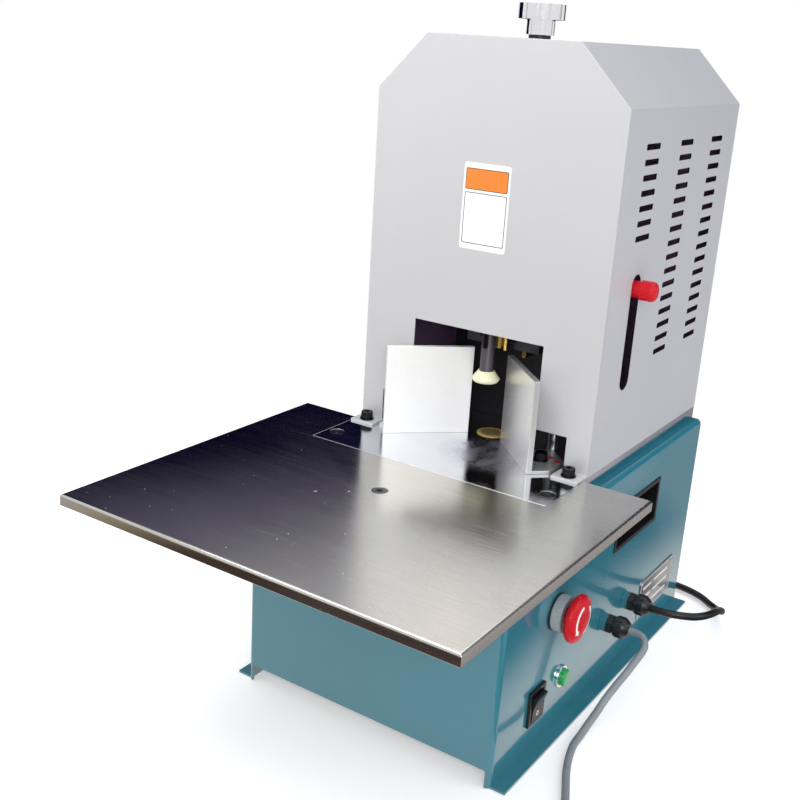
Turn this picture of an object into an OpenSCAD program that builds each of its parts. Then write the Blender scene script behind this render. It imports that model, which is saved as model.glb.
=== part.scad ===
// Electric corner rounding machine: a motor-driven gouge blade rounds the corners of a paper stack.
// Lengths are in millimetres. +Z is up, -Y is the operator's side, +X is the side with the switches.
// The origin is on the bench, under the middle of the machine.
$fn = 48;

/* [Base] */
// Width of the base over its side walls
base_w = 244; // [230:1:300]
// Depth of the base from its front panel to its rear panel
base_d = 392; // [380:1:460]
// Height of the deck above the bench
base_h = 200; // [185:1:260]
// Thickness of the base's sheet steel
base_t = 2; // [1.5:0.5:3]
// Outside radius of the base's bends
base_r = 5; // [4:0.5:8]
// Width of each out-turned foot flange
flange_w = 12.5; // [8:0.5:30]
// Height of the front panel's lower edge above the bench
front_gap = 15; // [5:1:30]
// Width of the inward returns that carry the rear panel
return_w = 14; // [10:1:25]

/* [Table] */
// Width of the paper table
table_w = 344; // [320:1:420]
// Depth of the paper table
table_d = 290; // [260:1:300]
// Gap between the table's back edge and the hood's front
table_gap = 6; // [4:1:12]
// Thickness of the table's sheet
table_t = 2; // [1:0.5:3]
// Height of the table's folded rim
table_rim = 9; // [6:0.5:11]
// Outside radius of the table's folded edges
table_edge = 2.5; // [1:0.5:3]
// Width of the bars of the frame under the table
table_bar = 20; // [14:1:30]
// Inset of the table screw behind the base's front
table_screw_inset = 8; // [6:1:12]

/* [Cutter bed] */
// Width of the cutter bed, and of the hood on it
bed_w = 225; // [215:1:228]
// Thickness of the cutter bed
bed_t = 12; // [12:0.5:18]
// Distance from the base's front to the bed's front edge
bed_setback = 68; // [60:1:80]
// Distance from the bed's front edge to the corner where the fences' lines meet
apex_setback = 117; // [110:1:125]
// Diameter of the cutting pad
pad_d = 26; // [25:1:34]
// Thickness of the cutting pad
pad_t = 6; // [4:0.5:8]
// How far the cutting pad stands above the bed
pad_proud = 0.5; // [0.2:0.1:1]

/* [Hood] */
// Distance from the bed's front edge to the hood's front
hood_setback = 73; // [65:1:75]
// How far the hood reaches behind the base
hood_overhang = 0.6; // [0.6:0.2:10]
// Height of the hood above the bed
hood_h = 336; // [330:1:380]
// Thickness of the hood's sheet
hood_t = 1.5; // [1:0.5:2.5]
// Size of the hood's 45 degree top chamfers
hood_chamfer = 45; // [30:1:60]
// Width of the work window in the hood's front
window_w = 124; // [110:1:140]
// Height of the work window
window_h = 101; // [95:1:110]
// Width of the low step at the window's foot
step_w = 182; // [176:1:200]
// Height of the low step
step_h = 30; // [20:1:45]
// Width of each hold-down lug at the hood's foot
lug_w = 24; // [18:1:28]
// Length of each hold-down lug
lug_d = 18; // [14:1:24]
// Thickness of each hold-down lug
lug_t = 2; // [1.5:0.5:3]
// Length of a vent
vent_l = 28; // [16:1:34]
// Height of a vent
vent_h = 4.8; // [3:0.2:7]
// Spacing of the vents up the side
vent_pitch = 11.9; // [9:0.1:12.5]
// Spacing of the columns of vents
vent_column = 74; // [60:1:80]
// Vents in the short column above the lever
vent_short = 7; // [3:1:7]
// Vents in each long column
vent_long = 16; // [6:1:16]
// Distance from the hood's shoulder down to the top row of vents
vent_drop = 29; // [24:1:60]
// Height of the lever slot
slot_h = 98; // [96:1:110]
// Width of the lever slot
slot_w = 18; // [14:0.5:20]

/* [Fences] */
// Length of each fence plate
fence_l = 77; // [60:1:80]
// Height of each fence plate
fence_h = 79; // [50:1:80]
// Thickness of each fence plate
fence_t = 5; // [4:0.5:6]
// Distance along each fence from the corner to the end of its plate
fence_gap = 23; // [22:1:30]
// Thickness of each fence's foot
foot_t = 3; // [2:0.5:5]
// Width of each fence's foot outside its plate
foot_w = 34; // [26:1:36]
// Length of each fence's foot
foot_l = 48; // [40:1:52]
// Size of the foot's cut corner
foot_cut = 19; // [8:1:20]

/* [Ram] */
// Travel of the ram
ram_stroke = 78; // [60:1:78]
// Width of the ram between its gib strips
ram_w = 32; // [28:1:36]
// Depth of the ram's guided part
ram_d = 31; // [28:1:36]
// Height of the ram
ram_h = 160; // [150:1:165]
// Thickness of the bronze gib strips
gib_t = 3.8; // [2:0.2:5]
// Thickness of the cheeks beside the ram
cheek_t = 16; // [10:1:20]
// Thickness of the keeper plates in front of the ram
keeper_t = 7; // [5:0.5:9]
// Thickness of the column plate behind the ram
column_t = 12; // [8:1:16]
// Width of the column plate
column_w = 140; // [130:1:160]
// Depth of each gusset behind the column plate
gusset_d = 52; // [40:1:60]
// Height of each gusset
gusset_h = 78; // [60:1:90]
// Thickness of each gusset
gusset_t = 8; // [6:1:10]
// Inside radius of the blade, which is the corner radius it cuts
blade_r = 8; // [5:0.5:8]
// Thickness of the blade
blade_t = 2.5; // [1.5:0.5:2.5]
// Height of the blade
blade_h = 40; // [30:1:40]

/* [Drive] */
// Module of the rack and pinion
gear_module = 2; // [1.5:0.25:2]
// Teeth on the pinion
pinion_teeth = 20; // [18:1:22]
// Face width of the rack and pinion
gear_face = 18; // [10:1:20]
// Diameter of the drive shaft
shaft_d = 15; // [10:1:18]
// Outside diameter of the shaft's bearing
bearing_d = 30; // [26:1:36]
// Width and height of the gearbox
gearbox_w = 80; // [70:1:90]
// Length of the gearbox
gearbox_l = 40; // [30:1:50]
// Diameter of the motor
motor_d = 84; // [70:1:92]
// Length of the motor
motor_l = 100; // [70:1:100]

/* [Presser] */
// Distance from the fences' corner forward to the presser's axis
presser_lead = 22; // [21:0.5:26]
// Diameter of the presser tube
tube_d = 12; // [10:0.5:14]
// Wall of the presser tube
tube_wall = 2; // [1.5:0.5:2.5]
// Largest diameter of the presser's foot
presser_d = 24; // [20:1:28]
// Height of the presser's foot
presser_foot_h = 10; // [8:1:14]
// Paper height that the raised presser leaves free
presser_clear = 53; // [50:1:58]
// Diameter of the clamp pin in the presser tube's slot
pin_d = 4; // [3:0.5:5]
// Diameter of the rod that guides the presser's carriage
guide_d = 12; // [10:1:14]
// Height of the presser's carriage
carriage_h = 30; // [24:1:34]
// Outside diameter of the return spring
spring_d = 14; // [10:1:16]
// Wire diameter of the return spring
wire_d = 1.6; // [1:0.1:2]
// Turns of the return spring
spring_turns = 12; // [8:1:14]

/* [Hand lever] */
// Height of the lever above the bed when the presser is up
lever_up = 149; // [146:1:151]
// Diameter of the lever's stub
lever_d = 9; // [7:0.5:10]
// Diameter of the lever's grip
grip_d = 16.5; // [14:0.5:20]
// Length of the lever's grip
grip_l = 24; // [22:1:40]

/* [Top knob] */
// Diameter of the knob's scalloped head
knob_d = 38; // [32:1:50]
// Height of the knob's head
knob_h = 12; // [10:1:18]
// Diameter of the knob's neck
neck_d = 23; // [20:1:28]
// Height of the knob's neck
neck_h = 12; // [8:1:16]
// Diameter of the adjusting rod
rod_d = 12; // [8:1:14]
// Diameter of the collar on the hood
collar_d = 18; // [17:0.5:24]
// Height of the collar on the hood
collar_h = 3; // [2:0.5:5]
// Scallops around the knob
scallops = 10; // [6:1:12]

/* [Switches] */
// Distance of the stop button behind the base's front
estop_y = 90; // [84:1:96]
// Height of the stop button above the bench
estop_z = 116; // [112:1:124]
// Diameter of the stop button's head
estop_d = 40; // [34:1:44]
// Travel of the stop button
estop_travel = 4; // [2:0.5:5]
// Distance of the start button behind the base's front
start_y = 112; // [108:1:118]
// Height of the start button above the bench
start_z = 46; // [42:1:60]
// Diameter of the start button's cap
start_d = 14.5; // [12:0.5:16]
// Travel of the start button
start_travel = 3; // [2:0.5:4]
// Distance of the rocker switch behind the base's front
rocker_y = 67; // [60:1:72]
// Height of the rocker switch above the bench
rocker_z = 42; // [40:1:50]
// Width of the rocker switch's frame
rocker_w = 26; // [20:1:30]
// Height of the rocker switch's frame
rocker_h = 32; // [26:1:36]
// Angle that the rocker turns through
rocker_angle = 20; // [10:1:20]

/* [Cable glands] */
// Distance of the switch lead's gland behind the base's front
gland_low_y = 210; // [206:1:214]
// Height of the switch lead's gland above the bench
gland_low_z = 52; // [46:1:58]
// Distance of the mains lead's gland behind the base's front
gland_high_y = 258; // [254:1:262]
// Height of the mains lead's gland above the bench
gland_high_z = 54; // [48:1:60]
// Diameter of a gland's nut
gland_d = 19; // [17:0.5:24]
// How far a gland stands out of the base
gland_l = 20; // [18:1:24]

/* [Hand holds] */
// Distance from the base's front to the middle of a hand hold
hold_y = 245; // [240:1:250]
// Height of the middle of a hand hold above the bench
hold_z = 148; // [140:1:155]
// Width of a hand hold's opening
hold_w = 92; // [80:1:110]
// Height of a hand hold's opening
hold_h = 40; // [30:1:50]
// Depth of a hand hold
hold_d = 30; // [24:1:40]

/* [Control unit] */
// Length of the control unit along the base's left wall
control_l = 120; // [80:1:120]
// Height of the control unit
control_h = 85; // [60:1:90]
// Depth of the control unit from the wall
control_d = 58; // [40:1:70]
// Height of the control unit's lower edge above the bench
control_z = 55; // [40:1:60]
// Width of each fixing ear of the control unit
control_ear = 14; // [10:1:16]

/* [Cords] */
// Diameter of the mains lead
mains_d = 7; // [6.5:0.1:7]
// Diameter of the switch lead
lead_d = 6.5; // [6:0.1:6.5]
// Turns in each layer of a coil
coil_turns = 3; // [2:1:3]

/* [Hidden] */
// General clearances
run_gap = 0.3;
fit_gap = 0.1;
cut = 1;

// Fastener sizes: an M6 cap screw with its washer, an M6 countersunk screw and an M4 cover screw
m6_r = 3;
m6_head_r = 5;
m6_head_h = 6;
m6_key_r = 2.5;
m6_key_deep = 3;
washer_r = 6.2;
washer_t = 1.2;
csk_r = 6.4;
csk_h = 3.4;
m4_r = 2;
m4_head_r = 4;
m4_head_h = 2.4;
thread_deep = 10;

// Depths and heights of the main parts
table_overhang = table_d + table_gap - bed_setback - hood_setback;
overall_d = table_overhang + base_d + hood_overhang + m4_head_h;
base_y0 = table_overhang - overall_d / 2;
base_y1 = base_y0 + base_d;
bed_z = base_h + bed_t;
bed_y0 = base_y0 + bed_setback;
table_y0 = base_y0 - table_overhang;
table_y1 = table_y0 + table_d;
hood_y0 = bed_y0 + hood_setback;
hood_y1 = base_y1 + hood_overhang;
hood_z1 = bed_z + hood_h;
shoulder_z = hood_z1 - hood_chamfer;
apex_y = bed_y0 + apex_setback;
wall_x = base_w / 2;

// Screws that hold the bed and the hood
bed_screw_x = bed_w / 2 - 9.5;
bed_screw_front = 22;
bed_screw_back = 20;
bed_screw_ys = [bed_y0 + bed_screw_front, base_y1 - bed_screw_back];
lug_screw_x = bed_w / 2 - lug_w / 2;
lug_screw_y = hood_y0 - lug_d / 2 - 1;
table_screw_y = base_y0 + table_screw_inset;

// The fences' screw, measured along its plate and outwards from it
foot_end = fence_gap + fence_l;
foot_screw_end = 24;
foot_screw_side = 15;
foot_screw = [foot_end - foot_screw_end, fence_t + foot_screw_side];

// Ram and its guide, from the blade backwards
blade_y = apex_y - blade_r * sqrt(2);
blade_back = blade_y + blade_r + blade_t;
ram_y0 = apex_y + 2;
keeper_y0 = ram_y0 + 1;
guide_y0 = keeper_y0 + keeper_t + run_gap;
guide_y1 = guide_y0 + ram_d;
column_y0 = guide_y1 + run_gap;
column_y1 = column_y0 + column_t;
tongue_w = 22;
gib_x = ram_w / 2 + fit_gap;
cheek_x = gib_x + gib_t;
cheek_x1 = cheek_x + cheek_t;
blade_z = bed_z + pad_proud + ram_stroke + run_gap;
ram_z0 = blade_z + 5;
ram_z1 = ram_z0 + ram_h;
column_over = 14;
column_z1 = ram_z1 + column_over;
cheek_z0 = blade_z;
gib_z0 = cheek_z0 - 8;

// Presser: a carriage in front of the ram, on a guide rod beside the slide
presser_y = apex_y - presser_lead;
presser_z = bed_z + presser_clear;
lever_z = bed_z + lever_up;
lever_y = ram_y0 + 8;
carriage_z0 = lever_z - carriage_h / 2;
carriage_z1 = lever_z + carriage_h / 2;
holder_y0 = blade_y + blade_r * 0.3;
carriage_y0 = presser_y - tube_d / 2 - 7;
carriage_y1 = holder_y0 - 1;
carriage_x0 = -tube_d / 2 - 8;
guide_side = 22;
guide_rod = [cheek_x1 + guide_side, ram_y0 + 3];
bush_wall = 3;
bush_r = guide_d / 2 + bush_wall;
boss_x0 = guide_rod.x - bush_r - 4;
boss_x1 = guide_rod.x + bush_r + 4;
boss_y1 = guide_rod.y + bush_r + 3;
guide_seat = 6;
pin_z = carriage_z0 + 8;
tube_z0 = presser_z + presser_foot_h / 3;
tube_over = 10;
tube_solid = 12;
tube_z1 = carriage_z1 + tube_over;
slot_up = 20;
slot_z0 = presser_z + presser_foot_h + slot_up;
slot_z1 = pin_z + pin_d / 2 + run_gap;
spring_at = [(tube_d / 2 + boss_x0) / 2 + 4, presser_y];
bracket_y0 = carriage_y0 - 2;

// Hand lever, from the carriage's boss out through the slot in the hood
stub_deep = 3;
grip_in = 6;
grip_x0 = bed_w / 2 - grip_in;
grip_head_l = 13;
sleeve_r = slot_w / 2 - 2;
slot_over = 12;
slot_z_top = lever_z + slot_over;

// Drive: the pinion meshes with the rack in the ram's left flank
pinion_r = gear_module * pinion_teeth / 2;
addendum = gear_module;
dedendum = 1.25 * gear_module;
backlash = 0.3;
rack_pitch_x = -(ram_w / 2 - addendum);
pinion_x = rack_pitch_x - pinion_r;
pinion_up = 64;
pinion_z = ram_z0 + pinion_up;
rack_y0 = guide_y0 + (ram_d - gear_face) / 2;
tooth_pitch = PI * gear_module;
rack_z0 = pinion_z - 2.5 * tooth_pitch;
rack_teeth = floor((ram_z1 - rack_z0) / tooth_pitch);
rack_z1 = rack_z0 + rack_teeth * tooth_pitch;
rack_deep = 10;
rack_back = ram_w / 2 - rack_deep;
pinion_room = pinion_r + addendum + 3;
gearbox_y1 = column_y1 + gearbox_l;
terminal_back = 20;
terminal_l = 50;
terminal_w = 52;
terminal_h = 22;
terminal_sink = 8;

// Knob above the ram
knob_back = 17;
knob_y = ram_y0 + knob_back;
collar_z1 = hood_z1 + collar_h;
neck_z1 = collar_z1 + neck_h;
knob_z1 = neck_z1 + knob_h;
knob_cap = 4;
ram_room = 4;
rod_z0 = ram_z1 + ram_room;
bracket_t = 12;
bracket_w = 80;

// Switches on the base's right wall
estop_at = [base_y0 + estop_y, estop_z];
start_at = [base_y0 + start_y, start_z];
rocker_at = [base_y0 + rocker_y, rocker_z];
estop_collar_d = 30;
estop_collar_l = 10;
estop_head_l = 10;
estop_stem_r = 8;
estop_block_w = 30;
estop_block_l = 42;
estop_neck_t = 3;
estop_in = 5;
push_room = 1;
start_body_r = start_d / 2 + 1;
start_bezel_r = start_d / 2 + 2.3;
start_bezel_l = 2;
start_body_l = 22;
start_in = 7;
start_cap_l = 4.5;
rocker_lip = 2.5;
rocker_frame_t = 2.5;
rocker_deep = 24;
rocker_floor = 2;
rocker_side = 1.5;
rocker_end = 1.2;

// Glands and hand holds
gland_ats = [[base_y0 + gland_low_y, gland_low_z], [base_y0 + gland_high_y, gland_high_z]];
gland_bores = [lead_d / 2, mains_d / 2];
gland_body_l = 9;
gland_thread_r = gland_d / 2 - 2.5;
gland_inside = 8;
gland_straight = 5;
function gland_exit(k) = [for (x = [0, gland_straight])
    [wall_x + gland_l + x, gland_ats[k][0], gland_ats[k][1]]];
hold_at = [base_y0 + hold_y, hold_z];
hold_lip = 2;
hold_wall = 2;
control_gap = 5;

// Routes of the two leads, laid on the bench, and the coils at their ends
mains_route = concat(gland_exit(1), [
    [159, 139, 54], [170, 143, 54], [179, 150, 53], [185, 159, 52], [188, 170, 50], [189, 183, 47],
    [188, 197, 42], [186, 211, 36], [184, 225, 29], [181, 239, 21], [176, 252, 14], [169, 265, 8],
    [159, 276, 5], [147, 285, 5], [133, 291, 5], [118, 294, 5], [102, 295, 5], [87, 295, 5],
    [72, 295, 5], [56, 295, 5], [42, 295, 5], [27, 295, 5]
]);
lead_route = concat(gland_exit(0), [
    [152, 89, 52], [157, 86, 51], [161, 80, 49], [162, 73, 46], [161, 60, 42], [159, 48, 36],
    [156, 36, 29], [153, 23, 21], [151, 10, 13], [150, -4, 8], [150, -18, 5], [151, -32, 5],
    [154, -45, 5], [158, -58, 5], [163, -71, 5], [169, -84, 5], [175, -97, 5], [180, -109, 5],
    [184, -121, 5], [185, -132, 5], [185, -143, 5]
]);
coil_gap = 0.6;
coil_rings = 24;
coil_sides = 6;
lead_sides = 10;
mains_coil_r = 51;
lead_coil_r = 48;
coil_z = 5;
tail_l = 34;
tie_w = 5;
tie_t = 1.2;
tie_gap = 0.25;
plug_w = 32;
plug_l = 44;
plug_pin_r = 2.4;
plug_pin_l = 19;
plug_pin_x = 9.5;
plug_relief_l = 26;
connector_r = 12;
connector_l = 46;

// Simple shapes
module block(lo, hi) {
    translate(lo) cube(hi - lo);
}

module rod_x(r, lo, hi, at) {
    translate([lo, at[0], at[1]]) rotate([0, 90, 0]) cylinder(r = r, h = hi - lo);
}

module rod_y(r, lo, hi, at) {
    translate([at[0], lo, at[1]]) rotate([-90, 0, 0]) cylinder(r = r, h = hi - lo);
}

module rod_z(r, lo, hi, at) {
    translate([at[0], at[1], lo]) cylinder(r = r, h = hi - lo);
}

module both_sides() {
    children();
    mirror([1, 0, 0]) children();
}

// Draws an x-z outline as a body from y0 back to y1
module run_back(y0, y1) {
    translate([0, y1, 0]) rotate([90, 0, 0]) linear_extrude(y1 - y0) children();
}

// Draws a y-z outline as a body from x0 across to x1
module run_across(x0, x1) {
    translate([x0, 0, 0]) rotate([90, 0, 90]) linear_extrude(x1 - x0) children();
}

module rounded_rect(w, h, r) {
    square([w - 2 * r, h], center = true);
    square([w, h - 2 * r], center = true);
    for (sx = [-1, 1], sy = [-1, 1])
        translate([sx * (w / 2 - r), sy * (h / 2 - r)]) circle(r);
}

// A socket-head cap screw standing on z = 0, with its thread below and a washer under its head
module cap_screw() {
    difference() {
        union() {
            cylinder(r = washer_r, h = washer_t);
            translate([0, 0, washer_t]) cylinder(r = m6_head_r, h = m6_head_h);
        }
        translate([0, 0, washer_t + m6_head_h - m6_key_deep])
            cylinder(r = m6_key_r, h = m6_key_deep + cut, $fn = 6);
    }
    translate([0, 0, -thread_deep]) cylinder(r = m6_r, h = thread_deep + cut);
}

// A countersunk screw whose top is at z = 0
module countersunk_screw(length) {
    difference() {
        union() {
            translate([0, 0, -csk_h]) cylinder(r1 = m6_r, r2 = csk_r, h = csk_h);
            translate([0, 0, -length]) cylinder(r = m6_r, h = length - csk_h);
        }
        translate([0, 0, -m6_key_deep / 2]) cylinder(r = m6_key_r, h = m6_key_deep, $fn = 6);
    }
}

module countersink(length) {
    translate([0, 0, -csk_h]) cylinder(r1 = m6_r + fit_gap, r2 = csk_r + fit_gap, h = csk_h);
    translate([0, 0, -length]) cylinder(r = m6_r + fit_gap, h = length);
    cylinder(r = csk_r + fit_gap, h = cut);
}

// A low-head cover screw that points along -Y, with its head's seat at y = 0
module cover_screw() {
    rod_y(m4_head_r, 0, m4_head_h, [0, 0]);
    rod_y(m4_r, -4, cut / 2, [0, 0]);
}

// Tubes swept along a list of points
function unit(v) = v / norm(v);
function along(p, i) = unit(p[min(i + 1, len(p) - 1)] - p[max(i - 1, 0)]);
function tube_ring(p, i, r, sides, ref) =
    let (t = along(p, i), a = unit(cross(ref, t)), b = cross(t, a))
    [for (k = [0 : sides - 1]) p[i] + r * (cos(360 * k / sides) * a + sin(360 * k / sides) * b)];

module tube(p, r, sides, ref = [0, 0, 1]) {
    n = len(p);
    points = [for (i = [0 : n - 1]) each tube_ring(p, i, r, sides, ref)];
    walls = [for (i = [0 : n - 2], k = [0 : sides - 1])
        let (a = i * sides + k, b = i * sides + (k + 1) % sides)
        each [[a, b + sides, b], [a, a + sides, b + sides]]];
    last = (n - 1) * sides;
    caps = [for (k = [1 : sides - 2]) each [[0, k, k + 1], [last, last + k + 1, last + k]]];
    polyhedron(points = points, faces = concat(walls, caps), convexity = 10);
}

// A coil of two layers: it spirals in, climbs a layer in the half turn where it reverses, and spirals out.
// It starts one straight diameter before the point start and heads along dir.
// side is 1 for a turn to the left and -1 for a turn to the right.
function climb(t) = t <= 0 ? 0 : t >= 1 ? 1 : t * t * (3 - 2 * t);
function coil_point(a, r_out, pitch, start, dir, side) =
    let (half = 360 * coil_turns, r = r_out - pitch * (half - abs(a - half)) / 360)
    let (out = side * [dir.y, -dir.x], turned = out * cos(a) + dir * sin(a))
    let (centre = [start.x, start.y] - r_out * out)
    let (flat = centre + r * turned)
    [flat.x, flat.y, start.z + pitch * climb((a - half + 90) / 180)];
function coil_route(r_out, d, start, dir, side) =
    let (pitch = d + coil_gap, whole = 720 * coil_turns, step = 360 / coil_rings)
    let (top = start.z + pitch)
    concat(
        [[start.x - d * dir.x, start.y - d * dir.y, start.z]],
        [for (a = [0 : step : whole]) coil_point(a, r_out, pitch, start, dir, side)],
        [for (t = [tail_l / 2, tail_l - d, tail_l]) [start.x + t * dir.x, start.y + t * dir.y, top]]);
function least_gap(p, d, skip) =
    min([for (i = [0 : len(p) - 1 - skip], j = [i + skip : len(p) - 1]) norm(p[i] - p[j])]) - d;

mains_dir = [-1, 0];
mains_end = mains_route[len(mains_route) - 1];
mains_start = [mains_end.x + mains_d * mains_dir.x, mains_end.y + mains_d * mains_dir.y, coil_z];
mains_loops = coil_route(mains_coil_r, mains_d, mains_start, mains_dir, -1);
lead_dir = [0, -1];
lead_end = lead_route[len(lead_route) - 1];
lead_start = [lead_end.x + lead_d * lead_dir.x, lead_end.y + lead_d * lead_dir.y, coil_z];
lead_loops = coil_route(lead_coil_r, lead_d, lead_start, lead_dir, 1);
echo(mains_coil_gap = least_gap(mains_loops, mains_d, coil_rings / 2));
echo(switch_coil_gap = least_gap(lead_loops, lead_d, coil_rings / 2));

// The return spring, hung between the bracket and the presser's carriage
spring_r = (spring_d - wire_d) / 2;
spring_z0 = carriage_z1 + wire_d / 2 + fit_gap;
spring_z1 = column_z1 - wire_d / 2 - fit_gap;
spring_steps = 8 * spring_turns;
spring_path = [for (i = [0 : spring_steps])
    [spring_at.x + spring_r * cos(45 * i), spring_at.y + spring_r * sin(45 * i),
        spring_z0 + (spring_z1 - spring_z0) * i / spring_steps]];
echo(spring_gap = least_gap(spring_path, wire_d, 6));

// Base
module base_plan(inset) {
    r = base_r - inset;
    x = wall_x - inset;
    y0 = base_y0 + inset;
    y1 = base_y1 + (inset > 0 ? cut : 0);
    translate([-x, y0 + r]) square([2 * x, y1 - y0 - r]);
    translate([-x + r, y0]) square([2 * x - 2 * r, r + cut]);
    for (sx = [-1, 1]) translate([sx * (x - r), y0 + r]) circle(r);
}

module base_section(inset) {
    r = base_r - inset;
    x = wall_x - inset;
    z0 = inset > 0 ? -cut : 0;
    z1 = base_h - inset;
    translate([-x, z0]) square([2 * x, z1 - r - z0]);
    translate([-x + r, z1 - r - cut]) square([2 * x - 2 * r, r + cut]);
    for (sx = [-1, 1]) translate([sx * (x - r), z1 - r]) circle(r);
}

module base_solid(inset) {
    intersection() {
        translate([0, 0, -2 * cut]) linear_extrude(base_h + 4 * cut) base_plan(inset);
        run_back(base_y0 - cut, base_y1 + 2 * cut) base_section(inset);
    }
}

module base_shell() {
    color("#26788c") difference() {
        union() {
            difference() {
                base_solid(0);
                base_solid(base_t);
                front_x = wall_x - base_r;
                block([-front_x, base_y0 - cut, -cut], [front_x, base_y0 + base_r, front_gap]);
            }
            both_sides() {
                block([wall_x - base_t, base_y0 + base_t, 0], [wall_x + flange_w, base_y1, base_t]);
                block([wall_x - base_t - return_w, base_y1 - 2 * base_t, front_gap],
                    [wall_x - base_t / 2, base_y1 - base_t, base_h - base_t / 2]);
            }
        }
        for (x = [-1, 1] * bed_screw_x, y = bed_screw_ys)
            rod_z(m6_r + fit_gap, base_h - base_t - cut, base_h + cut, [x, y]);
        rod_z(m6_r + fit_gap, base_h - base_t - cut, base_h + cut, [0, table_screw_y]);
        side_cut = base_t + 2 * cut;
        rod_x(estop_stem_r + 3 + fit_gap, wall_x - side_cut, wall_x + cut, estop_at);
        rod_x(start_body_r + fit_gap, wall_x - side_cut, wall_x + cut, start_at);
        block([wall_x - side_cut, rocker_at[0] - rocker_w / 2 + rocker_lip - fit_gap,
                rocker_at[1] - rocker_h / 2 + rocker_lip - fit_gap],
            [wall_x + cut, rocker_at[0] + rocker_w / 2 - rocker_lip + fit_gap,
                rocker_at[1] + rocker_h / 2 - rocker_lip + fit_gap]);
        for (at = gland_ats)
            rod_x(gland_thread_r + fit_gap, wall_x - side_cut, wall_x + cut, at);
        hold_cut_y = hold_w / 2 + fit_gap;
        hold_cut_z = hold_h / 2 + fit_gap;
        both_sides() translate([0, hold_at[0], hold_at[1]])
            block([wall_x - side_cut, -hold_cut_y, -hold_cut_z], [wall_x + cut, hold_cut_y, hold_cut_z]);
        for (at = rear_screws)
            rod_y(m4_r + fit_gap, base_y1 - 2 * base_t - cut, base_y1, at);
    }
}

rear_x = wall_x - base_t - run_gap;
rear_screw_low = 12;
rear_screw_high = 20;
rear_screws = [for (x = [-1, 1] * (rear_x - return_w / 2),
    z = [front_gap + rear_screw_low, base_h - rear_screw_high]) [x, z]];

module rear_panel() {
    color("#26788c") difference() {
        run_back(base_y1 - base_t, base_y1) base_section(base_t + run_gap);
        block([-base_w, base_y0, -2 * cut], [base_w, base_y1 + cut, front_gap]);
        for (at = rear_screws)
            rod_y(m4_r + fit_gap, base_y1 - base_t - cut, base_y1 + cut, at);
    }
}

// Table and its frame
module table_outline(inset) {
    notch_x = bed_w / 2 + fit_gap + inset;
    notch_y = bed_y0 - fit_gap - inset;
    difference() {
        translate([-table_w / 2 + inset, table_y0 + inset])
            square([table_w - 2 * inset, table_d - 2 * inset]);
        translate([-notch_x, notch_y]) square([2 * notch_x, table_y1 - notch_y + cut]);
    }
}

// A section from a to b, rounded at its two top corners
module round_top(a, b, r) {
    z0 = bed_z - table_rim - cut;
    translate([a, z0]) square([b - a, bed_z - r - z0]);
    translate([a + r, bed_z - r - cut]) square([b - a - 2 * r, r + cut]);
    for (x = [a + r, b - r]) translate([x, bed_z - r]) circle(r);
}

module table_top() {
    color("#b9b5ac") difference() {
        intersection() {
            translate([0, 0, bed_z - table_rim]) linear_extrude(table_rim + cut) table_outline(0);
            run_back(table_y0 - cut, table_y1 + cut) round_top(-table_w / 2, table_w / 2, table_edge);
            run_across(-table_w, table_w) round_top(table_y0, table_y1, table_edge);
        }
        translate([0, 0, bed_z - table_rim - cut])
            linear_extrude(table_rim - table_t + cut) table_outline(table_t);
        translate([0, table_screw_y, bed_z]) countersink(bed_t);
    }
}

module table_frame() {
    bar_x = base_w / 2 - 2 * table_bar;
    y0 = table_y0 + table_t + run_gap;
    rim_z0 = bed_z - table_rim;
    z1 = bed_z - table_t;
    back = bed_y0 - table_t - run_gap - cut;
    color("dimgray") difference() {
        union() {
            both_sides() block([bar_x, base_y0, base_h], [bar_x + table_bar, back, z1]);
            both_sides() block([bar_x, y0, rim_z0], [bar_x + table_bar, base_y0 + cut, z1]);
            block([-bar_x - cut, y0, rim_z0], [bar_x + cut, y0 + table_bar, z1]);
            block([-bar_x - cut, table_screw_y - table_bar / 2 + 2, base_h],
                [bar_x + cut, table_screw_y + table_bar / 2 + 2, z1]);
        }
        translate([0, table_screw_y, bed_z]) countersink(bed_t + cut);
    }
}

module countersunk_screws() {
    color("silver") {
        for (x = [-1, 1] * bed_screw_x, y = bed_screw_ys)
            translate([x, y, bed_z]) countersunk_screw(bed_t + base_t + 4);
        translate([0, table_screw_y, bed_z]) countersunk_screw(bed_t + base_t + 4);
    }
}

// Cutter bed, pad and fences
module cutter_bed() {
    color("#c8c8c6") difference() {
        block([-bed_w / 2, bed_y0, base_h], [bed_w / 2, base_y1, bed_z]);
        for (x = [-1, 1] * bed_screw_x, y = bed_screw_ys)
            translate([x, y, bed_z]) countersink(bed_t + cut);
        rod_z(pad_d / 2 + fit_gap, bed_z + pad_proud - pad_t, bed_z + cut, [0, pad_y]);
        for (x = [-1, 1] * lug_screw_x)
            rod_z(m6_r + fit_gap, bed_z - thread_deep, bed_z + cut, [x, lug_screw_y]);
        both_sides() at_fence() rod_z(m6_r + fit_gap, -thread_deep, cut, foot_screw);
        rod_z(guide_d / 2 + fit_gap, bed_z - guide_seat, bed_z + cut, guide_rod);
    }
}

pad_y = apex_y - 3;

module cutting_pad() {
    color("#8f7a45") rod_z(pad_d / 2, bed_z + pad_proud - pad_t, bed_z + pad_proud, [0, pad_y]);
}

// Places a fence drawn along +X, with its outer side towards +Y, on the right of the corner
module at_fence() {
    translate([0, apex_y, bed_z]) rotate([0, 0, -45]) children();
}

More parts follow.
